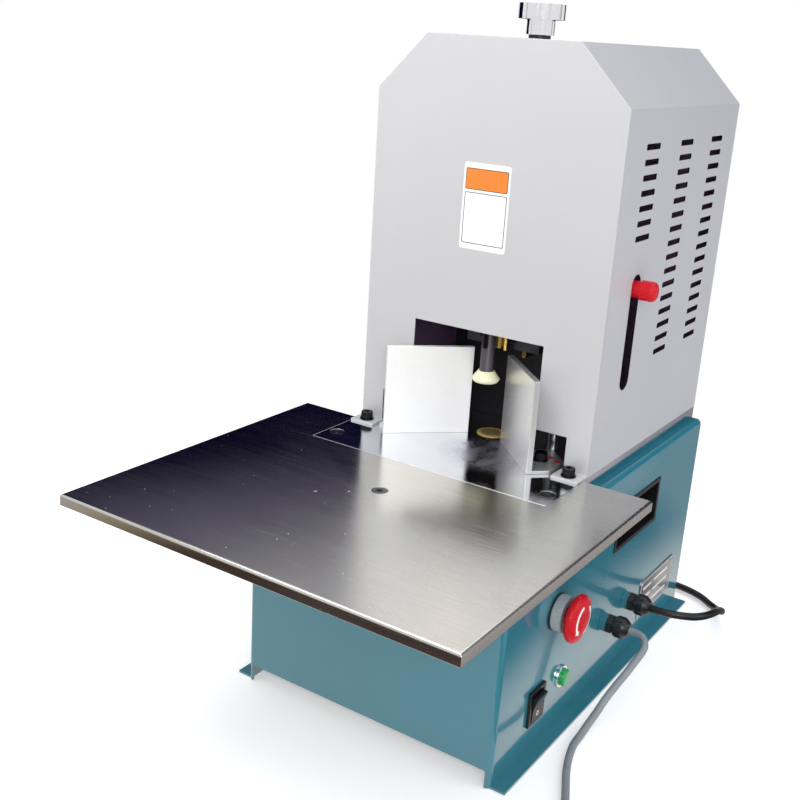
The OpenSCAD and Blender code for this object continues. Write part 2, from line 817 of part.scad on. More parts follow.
module fence() {
    foot_y = fence_t + foot_w;
    difference() {
        union() {
            block([fence_gap, 0, 0], [foot_end, fence_t, fence_h]);
            linear_extrude(foot_t) polygon([[foot_end - foot_l, fence_t / 2], [foot_end, fence_t / 2],
                [foot_end, foot_y - foot_cut], [foot_end - foot_cut, foot_y], [foot_end - foot_l, foot_y]]);
        }
        rod_z(m6_r + fit_gap, -cut, foot_t + cut, foot_screw);
    }
}

module fence_right() {
    color("#cfcfcd") at_fence() fence();
}

module fence_left() {
    color("#e6e6e4") mirror([1, 0, 0]) at_fence() fence();
}

module cap_screws() {
    color("#1c1c1e") {
        both_sides() at_fence() translate([foot_screw.x, foot_screw.y, foot_t]) cap_screw();
        for (x = [-1, 1] * lug_screw_x) translate([x, lug_screw_y, bed_z + lug_t]) cap_screw();
    }
}

// Hood
module hood_outline(inset) {
    x = bed_w / 2 - inset;
    turn = inset * tan(22.5);
    z0 = bed_z - (inset > 0 ? cut : 0);
    polygon([[-x, z0], [-x, shoulder_z - turn], [hood_chamfer - bed_w / 2 + turn, hood_z1 - inset],
        [bed_w / 2 - hood_chamfer - turn, hood_z1 - inset], [x, shoulder_z - turn], [x, z0]]);
}

vent_ys = [lever_y, lever_y + vent_column, lever_y + 2 * vent_column];
vent_counts = [vent_short, vent_long, vent_long];

module vents() {
    for (c = [0 : 2], k = [0 : vent_counts[c] - 1])
        translate([vent_ys[c], shoulder_z - vent_drop - k * vent_pitch])
            rounded_rect(vent_l, vent_h, vent_h / 4);
}

module hood_wrap() {
    back_y = hood_y1 - hood_t;
    inner_x = bed_w / 2 - hood_t;
    color("#c9c9cf") difference() {
        union() {
            difference() {
                run_back(hood_y0 + hood_t, back_y) hood_outline(0);
                run_back(hood_y0, hood_y1) hood_outline(hood_t);
            }
            both_sides() block([inner_x - return_w, back_y - hood_t, bed_z + run_gap],
                [inner_x + hood_t / 2, back_y, shoulder_z - hood_t]);
        }
        run_across(-bed_w, bed_w) vents();
        run_across(inner_x - cut, bed_w) translate([lever_y, slot_z_top - slot_h / 2])
            rounded_rect(slot_w, slot_h, slot_w / 2 - 0.01);
        rod_z(rod_d / 2 + run_gap, hood_z1 - hood_t - cut, hood_z1 + cut, [0, knob_y]);
        for (at = back_screws) rod_y(m4_r + fit_gap, back_y - hood_t - cut, back_y + cut, at);
    }
}

module hood_front() {
    y0 = hood_y0 - cut;
    y1 = hood_y0 + 2 * hood_t;
    lug_x = bed_w / 2 - lug_w;
    color("#d0d1d2") difference() {
        union() {
            run_back(hood_y0, hood_y0 + hood_t) hood_outline(0);
            both_sides()
                block([lug_x, hood_y0 - lug_d, bed_z], [bed_w / 2, hood_y0 + hood_t / 2, bed_z + lug_t]);
        }
        block([-window_w / 2, y0, bed_z - cut], [window_w / 2, y1, bed_z + window_h]);
        block([-step_w / 2, y0, bed_z + lug_t], [step_w / 2, y1, bed_z + step_h]);
        block([-lug_x, y0, bed_z - cut], [lug_x, y1, bed_z + step_h]);
        for (x = [-1, 1] * lug_screw_x)
            rod_z(m6_r + fit_gap, bed_z - cut, bed_z + lug_t + cut, [x, lug_screw_y]);
    }
}

back_screw_low = 30;
back_screw_high = 25;
back_screws = [for (x = [-1, 1] * (bed_w / 2 - hood_t - return_w / 2),
    z = [bed_z + back_screw_low, (bed_z + shoulder_z) / 2, shoulder_z - back_screw_high]) [x, z]];

module hood_back() {
    color("#c9c9cf") difference() {
        run_back(hood_y1 - hood_t, hood_y1) hood_outline(0);
        for (at = back_screws) rod_y(m4_r + fit_gap, hood_y1 - hood_t - cut, hood_y1 + cut, at);
    }
}

module cover_screws() {
    color("silver") {
        for (at = rear_screws) translate([at[0], base_y1, at[1]]) cover_screw();
        for (at = back_screws) translate([at[0], hood_y1, at[1]]) cover_screw();
    }
}

// Column, guide and drive
module column_plate() {
    gusset_x = column_w / 2 - gusset_t;
    gusset_y1 = column_y1 + gusset_d;
    gusset_z1 = bed_z + gusset_h;
    color("dimgray") difference() {
        union() {
            block([-column_w / 2, column_y0, bed_z], [column_w / 2, column_y1, column_z1]);
            both_sides() run_across(gusset_x, gusset_x + gusset_t)
                polygon([[column_y1 - cut, bed_z], [gusset_y1, bed_z], [gusset_y1, bed_z + gusset_t],
                    [column_y1, gusset_z1], [column_y1 - cut, gusset_z1]]);
        }
        rod_y(bearing_d / 2 + fit_gap, column_y0 - cut, column_y1 + cut, [pinion_x, pinion_z]);
        for (at = frame_screw_ats) rod_y(m6_r + fit_gap, column_y0 - cut, column_y1 + cut, at);
    }
}

left_cheek_spans = [[cheek_z0, pinion_z - pinion_room], [pinion_z + pinion_room, column_z1]];

module slide_cheeks() {
    color("gray") difference() {
        union() {
            block([cheek_x, keeper_y0 + keeper_t, cheek_z0], [cheek_x1, column_y0, column_z1]);
            for (span = left_cheek_spans)
                block([-cheek_x1, keeper_y0 + keeper_t, span[0]], [-cheek_x, column_y0, span[1]]);
        }
        for (at = frame_screw_ats)
            rod_y(m6_r + fit_gap, column_y0 - 2 * thread_deep, column_y0 + cut, at);
    }
}

module keeper_plates() {
    color("silver") both_sides()
        block([tongue_w / 2 + run_gap, keeper_y0, cheek_z0], [cheek_x1, keeper_y0 + keeper_t, column_z1]);
}

module gib_strips() {
    y0 = guide_y0 + run_gap;
    y1 = guide_y1 - run_gap;
    color("#b08d3e") {
        block([gib_x, y0, gib_z0], [cheek_x, y1, column_z1 - 4]);
        block([-cheek_x, y0, gib_z0], [-gib_x, y1, left_cheek_spans[0][1]]);
        block([-cheek_x, y0, left_cheek_spans[1][0]], [-gib_x, y1, column_z1 - 4]);
    }
}

module top_bracket() {
    z1 = column_z1 + bracket_t;
    color("dimgray") difference() {
        block([-bracket_w / 2, bracket_y0, column_z1], [boss_x1, column_y1, z1]);
        rod_z(rod_d / 2 + fit_gap / 2, column_z1 - cut, z1 + cut, [0, knob_y]);
        rod_z(guide_d / 2 + fit_gap, column_z1 - cut, column_z1 + guide_seat, guide_rod);
    }
}

cheek_mid = (cheek_x + cheek_x1) / 2;
cheek_screw_low = 14;
cheek_screw_high = 16;
frame_screw_ats = concat(
    [for (x = [-1, 1] * cheek_mid, z = [cheek_z0 + cheek_screw_low, column_z1 - cheek_screw_high]) [x, z]],
    [[cheek_mid, (cheek_z0 + column_z1) / 2]]);

module frame_screws() {
    color("#1c1c1e") for (at = frame_screw_ats) {
        rod_y(m6_r, column_y0 - thread_deep, column_y1 + cut, at);
        rod_y(m6_head_r, column_y1, column_y1 + m6_head_h, at);
    }
}

module gearbox() {
    half = gearbox_w / 2;
    color("#6f7a80") difference() {
        union() {
            block([pinion_x - half, column_y1 + m6_head_h + cut, pinion_z - half],
                [pinion_x + half, gearbox_y1, pinion_z + half]);
            rod_y(bearing_d / 2 + 4, column_y1, column_y1 + m6_head_h + 2 * cut, [pinion_x, pinion_z]);
        }
        rod_y(shaft_d / 2 + fit_gap / 2, column_y1 - cut, gearbox_y1 - 8, [pinion_x, pinion_z]);
    }
}

module motor() {
    ring = 4;
    fin_start = 8;
    fins = floor((motor_l - terminal_back) / (2 * ring));
    color("#3d4347") {
        rod_y(motor_d / 2 - 3, gearbox_y1, gearbox_y1 + motor_l, [pinion_x, pinion_z]);
        for (k = [0 : fins - 1])
            translate([0, gearbox_y1 + fin_start + 2 * k * ring, 0])
                rod_y(motor_d / 2, 0, ring, [pinion_x, pinion_z]);
        translate([pinion_x, gearbox_y1 + terminal_back, pinion_z + motor_d / 2])
            block([-terminal_w / 2, 0, -terminal_sink], [terminal_w / 2, terminal_l, terminal_h]);
    }
}

module shaft_bearing() {
    color("silver") difference() {
        rod_y(bearing_d / 2, column_y0, column_y1, [pinion_x, pinion_z]);
        rod_y(shaft_d / 2 + fit_gap / 2, column_y0 - cut, column_y1 + cut, [pinion_x, pinion_z]);
    }
}

// Involute of the pinion: the point at roll angle a, from a base circle of radius r
pressure = 20;
function involute(r, a) = r * [cos(a) + a * PI / 180 * sin(a), sin(a) - a * PI / 180 * cos(a)];
function turn2(p, a) = [p.x * cos(a) - p.y * sin(a), p.x * sin(a) + p.y * cos(a)];

module pinion_outline() {
    base = pinion_r * cos(pressure);
    tip = pinion_r + addendum - fit_gap;
    root = pinion_r - dedendum;
    tip_roll = sqrt(pow(tip / base, 2) - 1) * 180 / PI;
    involute_angle = tan(pressure) * 180 / PI - pressure;
    half = 90 / pinion_teeth - backlash / 2 / pinion_r * 180 / PI / 2 + involute_angle;
    flank = [for (k = [0 : 6]) turn2(involute(base, tip_roll * k / 6), -half)];
    tooth = concat([turn2([root - cut, 0], -half)], flank,
        [for (k = [6 : -1 : 0]) [flank[k].x, -flank[k].y]], [turn2([root - cut, 0], half)]);
    circle(root);
    for (k = [0 : pinion_teeth - 1]) rotate(360 * k / pinion_teeth) polygon(tooth);
}

module drive_pinion() {
    color("silver") {
        translate([pinion_x, rack_y0 + gear_face, pinion_z]) rotate([90, 0, 0])
            linear_extrude(gear_face) pinion_outline();
        rod_y(shaft_d / 2, rack_y0 - 4, gearbox_y1 - 10, [pinion_x, pinion_z]);
    }
}

// Ram: tooth spaces of the rack centre on the pinion's teeth at rest
module rack_outline() {
    lean = tan(pressure);
    half = tooth_pitch / 4 - backlash / 4;
    difference() {
        polygon([[-rack_back, rack_z0], [-rack_back, rack_z1], [rack_pitch_x - addendum, rack_z1],
            [rack_pitch_x - addendum, rack_z0]]);
        for (k = [-1 : rack_teeth]) {
            z = pinion_z + (k - 2) * tooth_pitch;
            wide = tooth_pitch / 2 - half + (addendum + cut) * lean;
            narrow = tooth_pitch / 2 - half - dedendum * lean;
            polygon([[rack_pitch_x - addendum - cut, z - wide], [rack_pitch_x - addendum - cut, z + wide],
                [rack_pitch_x + dedendum, z + narrow], [rack_pitch_x + dedendum, z - narrow]]);
        }
    }
}

module ram_rack() {
    color("#8c8f92") run_back(rack_y0, rack_y0 + gear_face) rack_outline();
}

holder_z0 = blade_z + 9;
holder_z1 = blade_z + blade_h;
holder_stud_z = (holder_z0 + holder_z1) / 2;
holder_w = 32;
holder_web = ram_y0 - blade_back - 1;
stud_x = tongue_w / 2 - 4.5;

module ram_bar() {
    color("#9a9da0") difference() {
        union() {
            block([-ram_w / 2, guide_y0, ram_z0], [ram_w / 2, guide_y1, ram_z1]);
            block([-tongue_w / 2, ram_y0, ram_z0], [tongue_w / 2, guide_y0 + cut, ram_z1]);
        }
        block([-ram_w, rack_y0 - fit_gap, rack_z0 - fit_gap],
            [-rack_back, rack_y0 + gear_face + fit_gap, ram_z1 + cut]);
        for (x = [-1, 1] * stud_x)
            rod_y(m4_r + fit_gap, ram_y0 - cut, ram_y0 + thread_deep + cut, [x, holder_stud_z]);
    }
}

module holder_studs() {
    color("#1c1c1e") for (x = [-1, 1] * stud_x)
        rod_y(m4_r, ram_y0 - holder_web, ram_y0 + thread_deep, [x, holder_stud_z]);
}

// The gouge blade's section: an arc behind the corner, open to the front
module blade_section(inner, outer) {
    spread = 62;
    intersection() {
        difference() {
            circle(outer);
            circle(inner);
        }
        x = 2 * outer * sin(spread);
        y = 2 * outer * cos(spread);
        polygon([[0, 0], [x, y], [x, 3 * outer], [-x, 3 * outer], [-x, y]]);
    }
}

module blade() {
    color("#a8abae") translate([0, blade_y, blade_z])
        linear_extrude(blade_h) blade_section(blade_r, blade_r + blade_t);
}

module blade_holder() {
    color("#54585b") difference() {
        block([-holder_w / 2, holder_y0, holder_z0], [holder_w / 2, ram_y0, holder_z1]);
        rod_z(blade_r + blade_t + fit_gap, holder_z0 - cut, holder_z1 + cut, [0, blade_y]);
        for (x = [-1, 1] * stud_x)
            rod_y(m4_r + fit_gap, ram_y0 - thread_deep, ram_y0 + cut, [x, holder_stud_z]);
    }
}

// Presser
module presser_guide() {
    color("silver") rod_z(guide_d / 2, bed_z - guide_seat, column_z1 + guide_seat, guide_rod);
}

module presser_carriage() {
    color("#6b6f72") difference() {
        union() {
            block([carriage_x0, carriage_y0, carriage_z0], [boss_x1, carriage_y1, carriage_z1]);
            block([boss_x0, carriage_y0, carriage_z0], [boss_x1, boss_y1, carriage_z1]);
        }
        rod_z(tube_d / 2 + fit_gap, carriage_z0 - cut, carriage_z1 + cut, [0, presser_y]);
        rod_z(bush_r + fit_gap, carriage_z0 - cut, carriage_z1 + cut, guide_rod);
        rod_y(pin_d / 2 + fit_gap, carriage_y0 - cut, carriage_y1 - cut, [0, pin_z]);
        rod_x(lever_d / 2 + fit_gap, boss_x1 - stub_deep, boss_x1 + cut, [lever_y, lever_z]);
    }
}

module carriage_bush() {
    z0 = carriage_z0 - 5;
    color("#b08d3e") difference() {
        rod_z(bush_r, z0, carriage_z1, guide_rod);
        rod_z(guide_d / 2 + fit_gap / 2, z0 - cut, carriage_z1 + cut, guide_rod);
    }
}

module clamp_pin() {
    color("silver") rod_y(pin_d / 2, carriage_y0 + cut, carriage_y1 - cut, [0, pin_z]);
}

module return_spring() {
    color("silver") tube(spring_path, wire_d / 2, 6);
}

module presser_tube() {
    slot = pin_d + 1;
    y0 = presser_y - tube_d;
    y1 = presser_y + tube_d;
    color("#8b8a90") difference() {
        rod_z(tube_d / 2, tube_z0, tube_z1, [0, presser_y]);
        rod_z(tube_d / 2 - tube_wall, tube_z0 + tube_solid, tube_z1 - 4, [0, presser_y]);
        rod_y(slot / 2, y0, y1, [0, slot_z0 + slot / 2]);
        block([-slot / 2, y0, slot_z0 + slot / 2], [slot / 2, y1, slot_z1]);
    }
}

module presser_foot() {
    h = presser_foot_h;
    r = presser_d / 2;
    color("#f0ecc8") translate([0, presser_y, presser_z]) difference() {
        rotate_extrude()
            polygon([[0, 0], [r - 1.5, 0], [r, h * 0.22], [r, h * 0.3], [tube_d / 2 + 1, h], [0, h]]);
        rod_z(tube_d / 2 + fit_gap, tube_z0 - presser_z, h + cut, [0, 0]);
    }
}

// Hand lever
module lever_stub() {
    color("#7d8083") rod_x(lever_d / 2, boss_x1 - stub_deep, grip_x0 + grip_l / 2, [lever_y, lever_z]);
}

module lever_grip() {
    r = grip_d / 2;
    nose = 0.24 * grip_d;
    color("#d3202c") translate([grip_x0, lever_y, lever_z]) rotate([0, 90, 0]) difference() {
        rotate_extrude() {
            square([sleeve_r, grip_l - nose]);
            translate([0, grip_l - grip_head_l]) square([r, grip_head_l - nose]);
            square([r - nose, grip_l]);
            translate([r - nose, grip_l - nose]) circle(nose);
        }
        translate([0, 0, -cut]) cylinder(r = lever_d / 2 + fit_gap / 2, h = grip_l / 2 + cut + fit_gap);
    }
}

// Top knob
module knob_collar() {
    color("#26282a") difference() {
        rod_z(collar_d / 2, hood_z1, collar_z1, [0, knob_y]);
        rod_z(rod_d / 2 + fit_gap, hood_z1 - cut, collar_z1 + cut, [0, knob_y]);
    }
}

module adjusting_knob() {
    scallop_r = PI * knob_d / scallops / 4;
    scallop_at = knob_d / 2 * 1.07;
    flute_r = PI * neck_d / scallops / 4;
    flute_at = neck_d / 2 * 1.07;
    color("#d9dadc") difference() {
        union() {
            rod_z(neck_d / 2, collar_z1 + fit_gap, neck_z1, [0, knob_y]);
            rod_z(knob_d / 2, neck_z1, knob_z1, [0, knob_y]);
        }
        for (k = [0 : scallops - 1]) {
            a = 360 * k / scallops;
            at = [scallop_at * cos(a), knob_y + scallop_at * sin(a)];
            rod_z(scallop_r, neck_z1 - cut / 2, knob_z1 + cut, at);
            rod_z(flute_r, collar_z1 - cut, neck_z1 - cut, [flute_at * cos(a), knob_y + flute_at * sin(a)]);
        }
        rod_z(rod_d / 2 + fit_gap / 2, collar_z1 - cut, knob_z1 - knob_cap, [0, knob_y]);
    }
}

module adjusting_rod() {
    color("#9a9da0") rod_z(rod_d / 2, rod_z0, knob_z1 - knob_cap, [0, knob_y]);
}

// Switches on the right wall
module estop_collar() {
    color("#9fa3a6") difference() {
        rod_x(estop_collar_d / 2, wall_x, wall_x + estop_collar_l, estop_at);
        rod_x(estop_stem_r + run_gap, wall_x - cut, wall_x + estop_collar_l + cut, estop_at);
    }
}

module estop_block() {
    half = estop_block_w / 2;
    inner_x = wall_x - base_t;
    color("#3a3d40") difference() {
        union() {
            rod_x(estop_stem_r + estop_neck_t, inner_x - cut, wall_x, estop_at);
            translate([inner_x, estop_at[0], estop_at[1]])
                block([-estop_block_l, -half, -half], [0, half, half]);
        }
        rod_x(estop_stem_r + run_gap, inner_x - estop_in - push_room - estop_travel, wall_x + cut, estop_at);
    }
}

module estop_head() {
    x0 = wall_x + estop_collar_l + estop_travel + run_gap;
    r = estop_d / 2;
    h = estop_head_l;
    color("#d81f2a") {
        rod_x(estop_stem_r, wall_x - base_t - estop_in, x0 + cut, estop_at);
        translate([x0, estop_at[0], estop_at[1]]) rotate([0, 90, 0]) rotate_extrude()
            polygon([[0, 0], [r - 2, 0], [r, 0.2 * h], [r, 0.5 * h], [r - 1.5, 0.7 * h],
                [r - 5, 0.84 * h], [r - 9, 0.94 * h], [r - 12, h], [0, h]]);
    }
}

module start_bezel() {
    inner_x = wall_x - base_t;
    color("#c9cbcc") difference() {
        union() {
            rod_x(start_bezel_r, wall_x, wall_x + start_bezel_l, start_at);
            rod_x(start_body_r, inner_x - start_body_l, wall_x + cut, start_at);
        }
        rod_x(start_d / 2 + run_gap, inner_x - start_in - push_room - start_travel,
            wall_x + start_bezel_l + cut, start_at);
    }
}

module start_button() {
    r = start_d / 2;
    nose = 2;
    x0 = wall_x - base_t - start_in;
    color("#1fae5b") translate([x0, start_at[0], start_at[1]]) rotate([0, 90, 0]) rotate_extrude() {
        l = wall_x + start_bezel_l + start_cap_l - x0;
        square([r, l - nose]);
        square([r - nose, l]);
        translate([r - nose, l - nose]) circle(nose);
    }
}

module rocker_frame() {
    w = rocker_w - 2 * rocker_lip;
    h = rocker_h - 2 * rocker_lip;
    color("#17181a") translate([0, rocker_at[0], rocker_at[1]]) difference() {
        union() {
            block([wall_x, -rocker_w / 2, -rocker_h / 2],
                [wall_x + rocker_frame_t, rocker_w / 2, rocker_h / 2]);
            block([wall_x - rocker_deep, -w / 2, -h / 2], [wall_x + cut, w / 2, h / 2]);
        }
        block([wall_x - rocker_deep + rocker_floor, -w / 2 + rocker_side, -h / 2 + rocker_end],
            [wall_x + rocker_frame_t + cut, w / 2 - rocker_side, h / 2 - rocker_end]);
    }
}

// The rocker turns about an axis along Y at the wall's face; its upper half stands out at rest
module rocker() {
    w = rocker_w - 2 * rocker_lip - 3 - 2 * run_gap;
    reach = rocker_h / 2 - rocker_lip - 2.4;
    pivot_w = rocker_w - 2 * rocker_lip - 3 - 2 * fit_gap;
    color("#222326") translate([wall_x, rocker_at[0], rocker_at[1]]) {
        run_back(-w / 2, w / 2) rotate(-rocker_angle / 2)
            polygon([[-3, -reach + 2], [0, -reach], [5, -reach], [3.4, 0], [5, reach], [0, reach],
                [-3, reach - 2], [-8, 3], [-8, -3]]);
        rod_y(1.5, -pivot_w / 2, pivot_w / 2, [0, 0]);
    }
}

// Glands, hand holds and the control unit
module gland_bodies() {
    color("#1d1e20") for (k = [0, 1]) difference() {
        union() {
            rod_x(gland_thread_r, wall_x - base_t - gland_inside, wall_x + gland_body_l, gland_ats[k]);
            translate([wall_x, gland_ats[k][0], gland_ats[k][1]]) rotate([0, 90, 0])
                cylinder(r = gland_d / 2, h = 5, $fn = 6);
            translate([wall_x - base_t - 4, gland_ats[k][0], gland_ats[k][1]]) rotate([0, 90, 0])
                cylinder(r = gland_d / 2, h = 4, $fn = 6);
        }
        rod_x(gland_bores[k] + fit_gap, wall_x - 2 * gland_inside, wall_x + gland_body_l + cut, gland_ats[k]);
    }
}

module gland_nuts() {
    color("#1d1e20") for (k = [0, 1])
        translate([wall_x, gland_ats[k][0], gland_ats[k][1]]) rotate([0, 90, 0]) difference() {
            rotate_extrude() polygon([[0, 7], [gland_d / 2, 7], [gland_d / 2, gland_l - 5],
                [gland_bores[k] + 2.5, gland_l], [0, gland_l]]);
            translate([0, 0, 5]) cylinder(r = gland_thread_r + fit_gap / 2, h = gland_body_l - 5 + fit_gap);
            cylinder(r = gland_bores[k] + fit_gap, h = gland_l - 2);
        }
}

module hand_holds() {
    y = hold_w / 2;
    z = hold_h / 2;
    color("#17181a") both_sides() translate([0, hold_at[0], hold_at[1]]) difference() {
        union() {
            block([wall_x, -y - hold_lip, -z - hold_lip],
                [wall_x + hold_wall / 2, y + hold_lip, z + hold_lip]);
            block([wall_x - hold_d, -y, -z], [wall_x + hold_wall / 4, y, z]);
        }
        block([wall_x - hold_d + hold_wall, -y + hold_wall, -z + hold_wall],
            [wall_x + cut + hold_wall, y - hold_wall, z - hold_wall]);
    }
}

module control_unit() {
    inner_x = base_t - wall_x;
    y1 = hold_at[0] - hold_w / 2 - control_ear - control_gap;
    y0 = y1 - control_l;
    z1 = control_z + control_h;
    color("#b8b2a4") {
        block([inner_x, y0, control_z], [inner_x + control_d, y1, z1]);
        block([inner_x, y0 - control_ear, control_z], [inner_x + base_t, y1 + control_ear, z1]);
    }
}

// Leads
module mains_lead() {
    color("#151517") tube(mains_route, mains_d / 2, lead_sides);
}

module mains_coil() {
    color("#151517") tube(mains_loops, mains_d / 2, coil_sides);
}

module switch_lead() {
    color("#8f9194") tube(lead_route, lead_d / 2, lead_sides, [0.5, 0.7, -0.5]);
}

module switch_coil() {
    color("#8f9194") tube(lead_loops, lead_d / 2, coil_sides);
}

// A band round the coil, on the far side from where the lead comes in
module coil_tie(r_out, d, start, dir, side) {
    pitch = d + coil_gap;
    away = -side * [dir.y, -dir.x];
    centre = [start.x, start.y] + r_out * away;
    hi = r_out - pitch / 2 + d / 2 + tie_gap;
    lo = r_out - pitch * (coil_turns - 0.5) - d / 2 - tie_gap;
    z0 = start.z - d / 2 - tie_gap;
    z1 = start.z + pitch + d / 2 + tie_gap;
    translate([centre.x, centre.y, 0]) rotate(atan2(away.y, away.x)) difference() {
        block([lo - tie_t, -tie_w / 2, z0 - tie_t], [hi + tie_t, tie_w / 2, z1 + tie_t]);
        block([lo, -tie_w, z0], [hi, tie_w, z1]);
    }
}

module mains_tie() {
    color("#2a2a2c") coil_tie(mains_coil_r, mains_d, mains_start, mains_dir, -1);
}

module switch_tie() {
    color("#2a2a2c") coil_tie(lead_coil_r, lead_d, lead_start, lead_dir, 1);
}

// Places a piece drawn along +X from the end of a coil's tail
module at_tail(loops, dir) {
    translate(loops[len(loops) - 1]) rotate(atan2(dir.y, dir.x)) children();
}

module mains_plug() {
    deep = mains_start.z + mains_d + coil_gap;
    color("#151517") at_tail(mains_loops, mains_dir) {
        rotate([0, 90, 0]) cylinder(r1 = mains_d / 2 + 1, r2 = mains_d / 2 + 3, h = plug_relief_l);
        translate([plug_relief_l + plug_l / 2 - cut, 0, -deep])
            linear_extrude(2 * deep) rounded_rect(plug_l, plug_w, 8);
        for (y = [-1, 1] * plug_pin_x)
            rod_x(plug_pin_r, plug_relief_l + plug_l - 2 * cut, plug_relief_l + plug_l + plug_pin_l, [y, 0]);
    }
}

module switch_connector() {
    color("#3a3c40") at_tail(lead_loops, lead_dir) {
        rotate([0, 90, 0]) cylinder(r1 = lead_d / 2 + 1, r2 = lead_d / 2 + 2.5, h = 16);
        rod_x(connector_r - 1.5, 15, connector_l, [0, 0]);
        rod_x(connector_r, connector_l - 20, connector_l - 4, [0, 0]);
    }
}

base_shell();
rear_panel();
cover_screws();
table_top();
table_frame();
countersunk_screws();
cutter_bed();
cutting_pad();
fence_left();
fence_right();
cap_screws();
hood_wrap();
hood_front();
hood_back();
column_plate();
slide_cheeks();
keeper_plates();
gib_strips();
top_bracket();
frame_screws();
gearbox();
motor();
shaft_bearing();
drive_pinion();
ram_bar();
ram_rack();
holder_studs();
blade_holder();
blade();
presser_guide();
presser_carriage();
carriage_bush();
clamp_pin();
return_spring();
presser_tube();
presser_foot();
lever_stub();
lever_grip();
knob_collar();
adjusting_knob();
adjusting_rod();
estop_collar();
estop_block();
estop_head();
start_bezel();
start_button();
rocker_frame();
rocker();
hand_holds();
control_unit();
gland_bodies();
gland_nuts();
mains_lead();
mains_coil();
mains_tie();
mains_plug();
switch_lead();
switch_coil();
switch_tie();
switch_connector();
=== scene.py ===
"""Looks of the electric corner rounding machine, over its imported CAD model."""
import math

import bmesh
import bpy
from mathutils import Matrix, Vector


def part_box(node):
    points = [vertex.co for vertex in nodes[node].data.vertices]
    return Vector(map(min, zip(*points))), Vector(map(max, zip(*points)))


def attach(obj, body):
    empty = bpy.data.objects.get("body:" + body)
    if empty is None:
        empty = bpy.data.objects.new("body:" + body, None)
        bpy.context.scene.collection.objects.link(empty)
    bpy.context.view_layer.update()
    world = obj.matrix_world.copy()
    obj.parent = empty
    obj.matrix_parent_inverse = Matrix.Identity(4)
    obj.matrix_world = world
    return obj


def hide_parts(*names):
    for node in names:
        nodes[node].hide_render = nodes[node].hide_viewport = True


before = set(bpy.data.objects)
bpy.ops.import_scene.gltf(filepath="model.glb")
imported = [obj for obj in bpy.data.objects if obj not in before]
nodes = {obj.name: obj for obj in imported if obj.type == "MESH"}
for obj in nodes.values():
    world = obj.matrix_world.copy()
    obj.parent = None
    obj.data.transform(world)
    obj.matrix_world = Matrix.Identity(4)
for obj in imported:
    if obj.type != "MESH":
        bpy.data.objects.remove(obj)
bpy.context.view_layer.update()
scene = bpy.context.scene
MM = 0.001

# Camera, fitted to the photograph
camera_data = bpy.data.cameras.new("camera")
camera_data.sensor_width = 36.0
camera_data.lens = 49.66
camera_data.clip_start = 0.02
camera_data.clip_end = 60.0
camera = bpy.data.objects.new("camera", camera_data)
camera.location = (0.4354, -0.7628, 0.5466)
camera.rotation_euler = [math.radians(a) for a in (71.562, -3.371, 34.068)]
scene.collection.objects.link(camera)
scene.camera = camera


# Shader graphs
def linear(hexcode):
    """A colour written as RRGGBB, as linear RGBA."""
    parts = [int(hexcode[i : i + 2], 16) / 255 for i in (0, 2, 4)]
    return tuple(p / 12.92 if p <= 0.04045 else ((p + 0.055) / 1.055) ** 2.4 for p in parts) + (1.0,)


def shade(rgba, factor):
    return tuple(min(1.0, c * factor) for c in rgba[:3]) + (1.0,)


class Graph:
    """Short forms for building a node tree; a value is a number, a colour or another node's output."""

    def __init__(self, tree):
        self.tree = tree

    def node(self, kind, **settings):
        made = self.tree.nodes.new(kind)
        for name, value in settings.items():
            setattr(made, name, value)
        return made

    def give(self, socket, value):
        if isinstance(value, bpy.types.NodeSocket):
            self.tree.links.new(value, socket)
        else:
            socket.default_value = value

    def math(self, operation, a, b=0.0):
        made = self.node("ShaderNodeMath", operation=operation)
        self.give(made.inputs[0], a)
        self.give(made.inputs[1], b)
        return made.outputs[0]

    def spread(self, value, low, high, a=0.3, b=0.7, soft=False):
        """Maps values between a and b to low and high, and stops there."""
        made = self.node("ShaderNodeMapRange", interpolation_type="SMOOTHSTEP" if soft else "LINEAR")
        given = {"Value": value, "From Min": a, "From Max": b, "To Min": low, "To Max": high}
        for name, setting in given.items():
            self.give(made.inputs[name], setting)
        return made.outputs["Result"]

    def blend(self, factor, a, b):
        made = self.node("ShaderNodeMix", data_type="RGBA")
        for kind, value in (("Factor_Float", factor), ("A_Color", a), ("B_Color", b)):
            self.give(next(s for s in made.inputs if s.identifier == kind), value)
        return next(s for s in made.outputs if s.identifier == "Result_Color")

    def shaders(self, factor, a, b):
        made = self.node("ShaderNodeMixShader")
        for socket, value in zip(made.inputs, (factor, a, b)):
            self.give(socket, value)
        return made.outputs["Shader"]

    def glow(self, kind, colour, strength=1.0):
        """An emission or background shader."""
        made = self.node(kind)
        self.give(made.inputs["Color"], colour)
        self.give(made.inputs["Strength"], strength)
        return made.outputs[0]


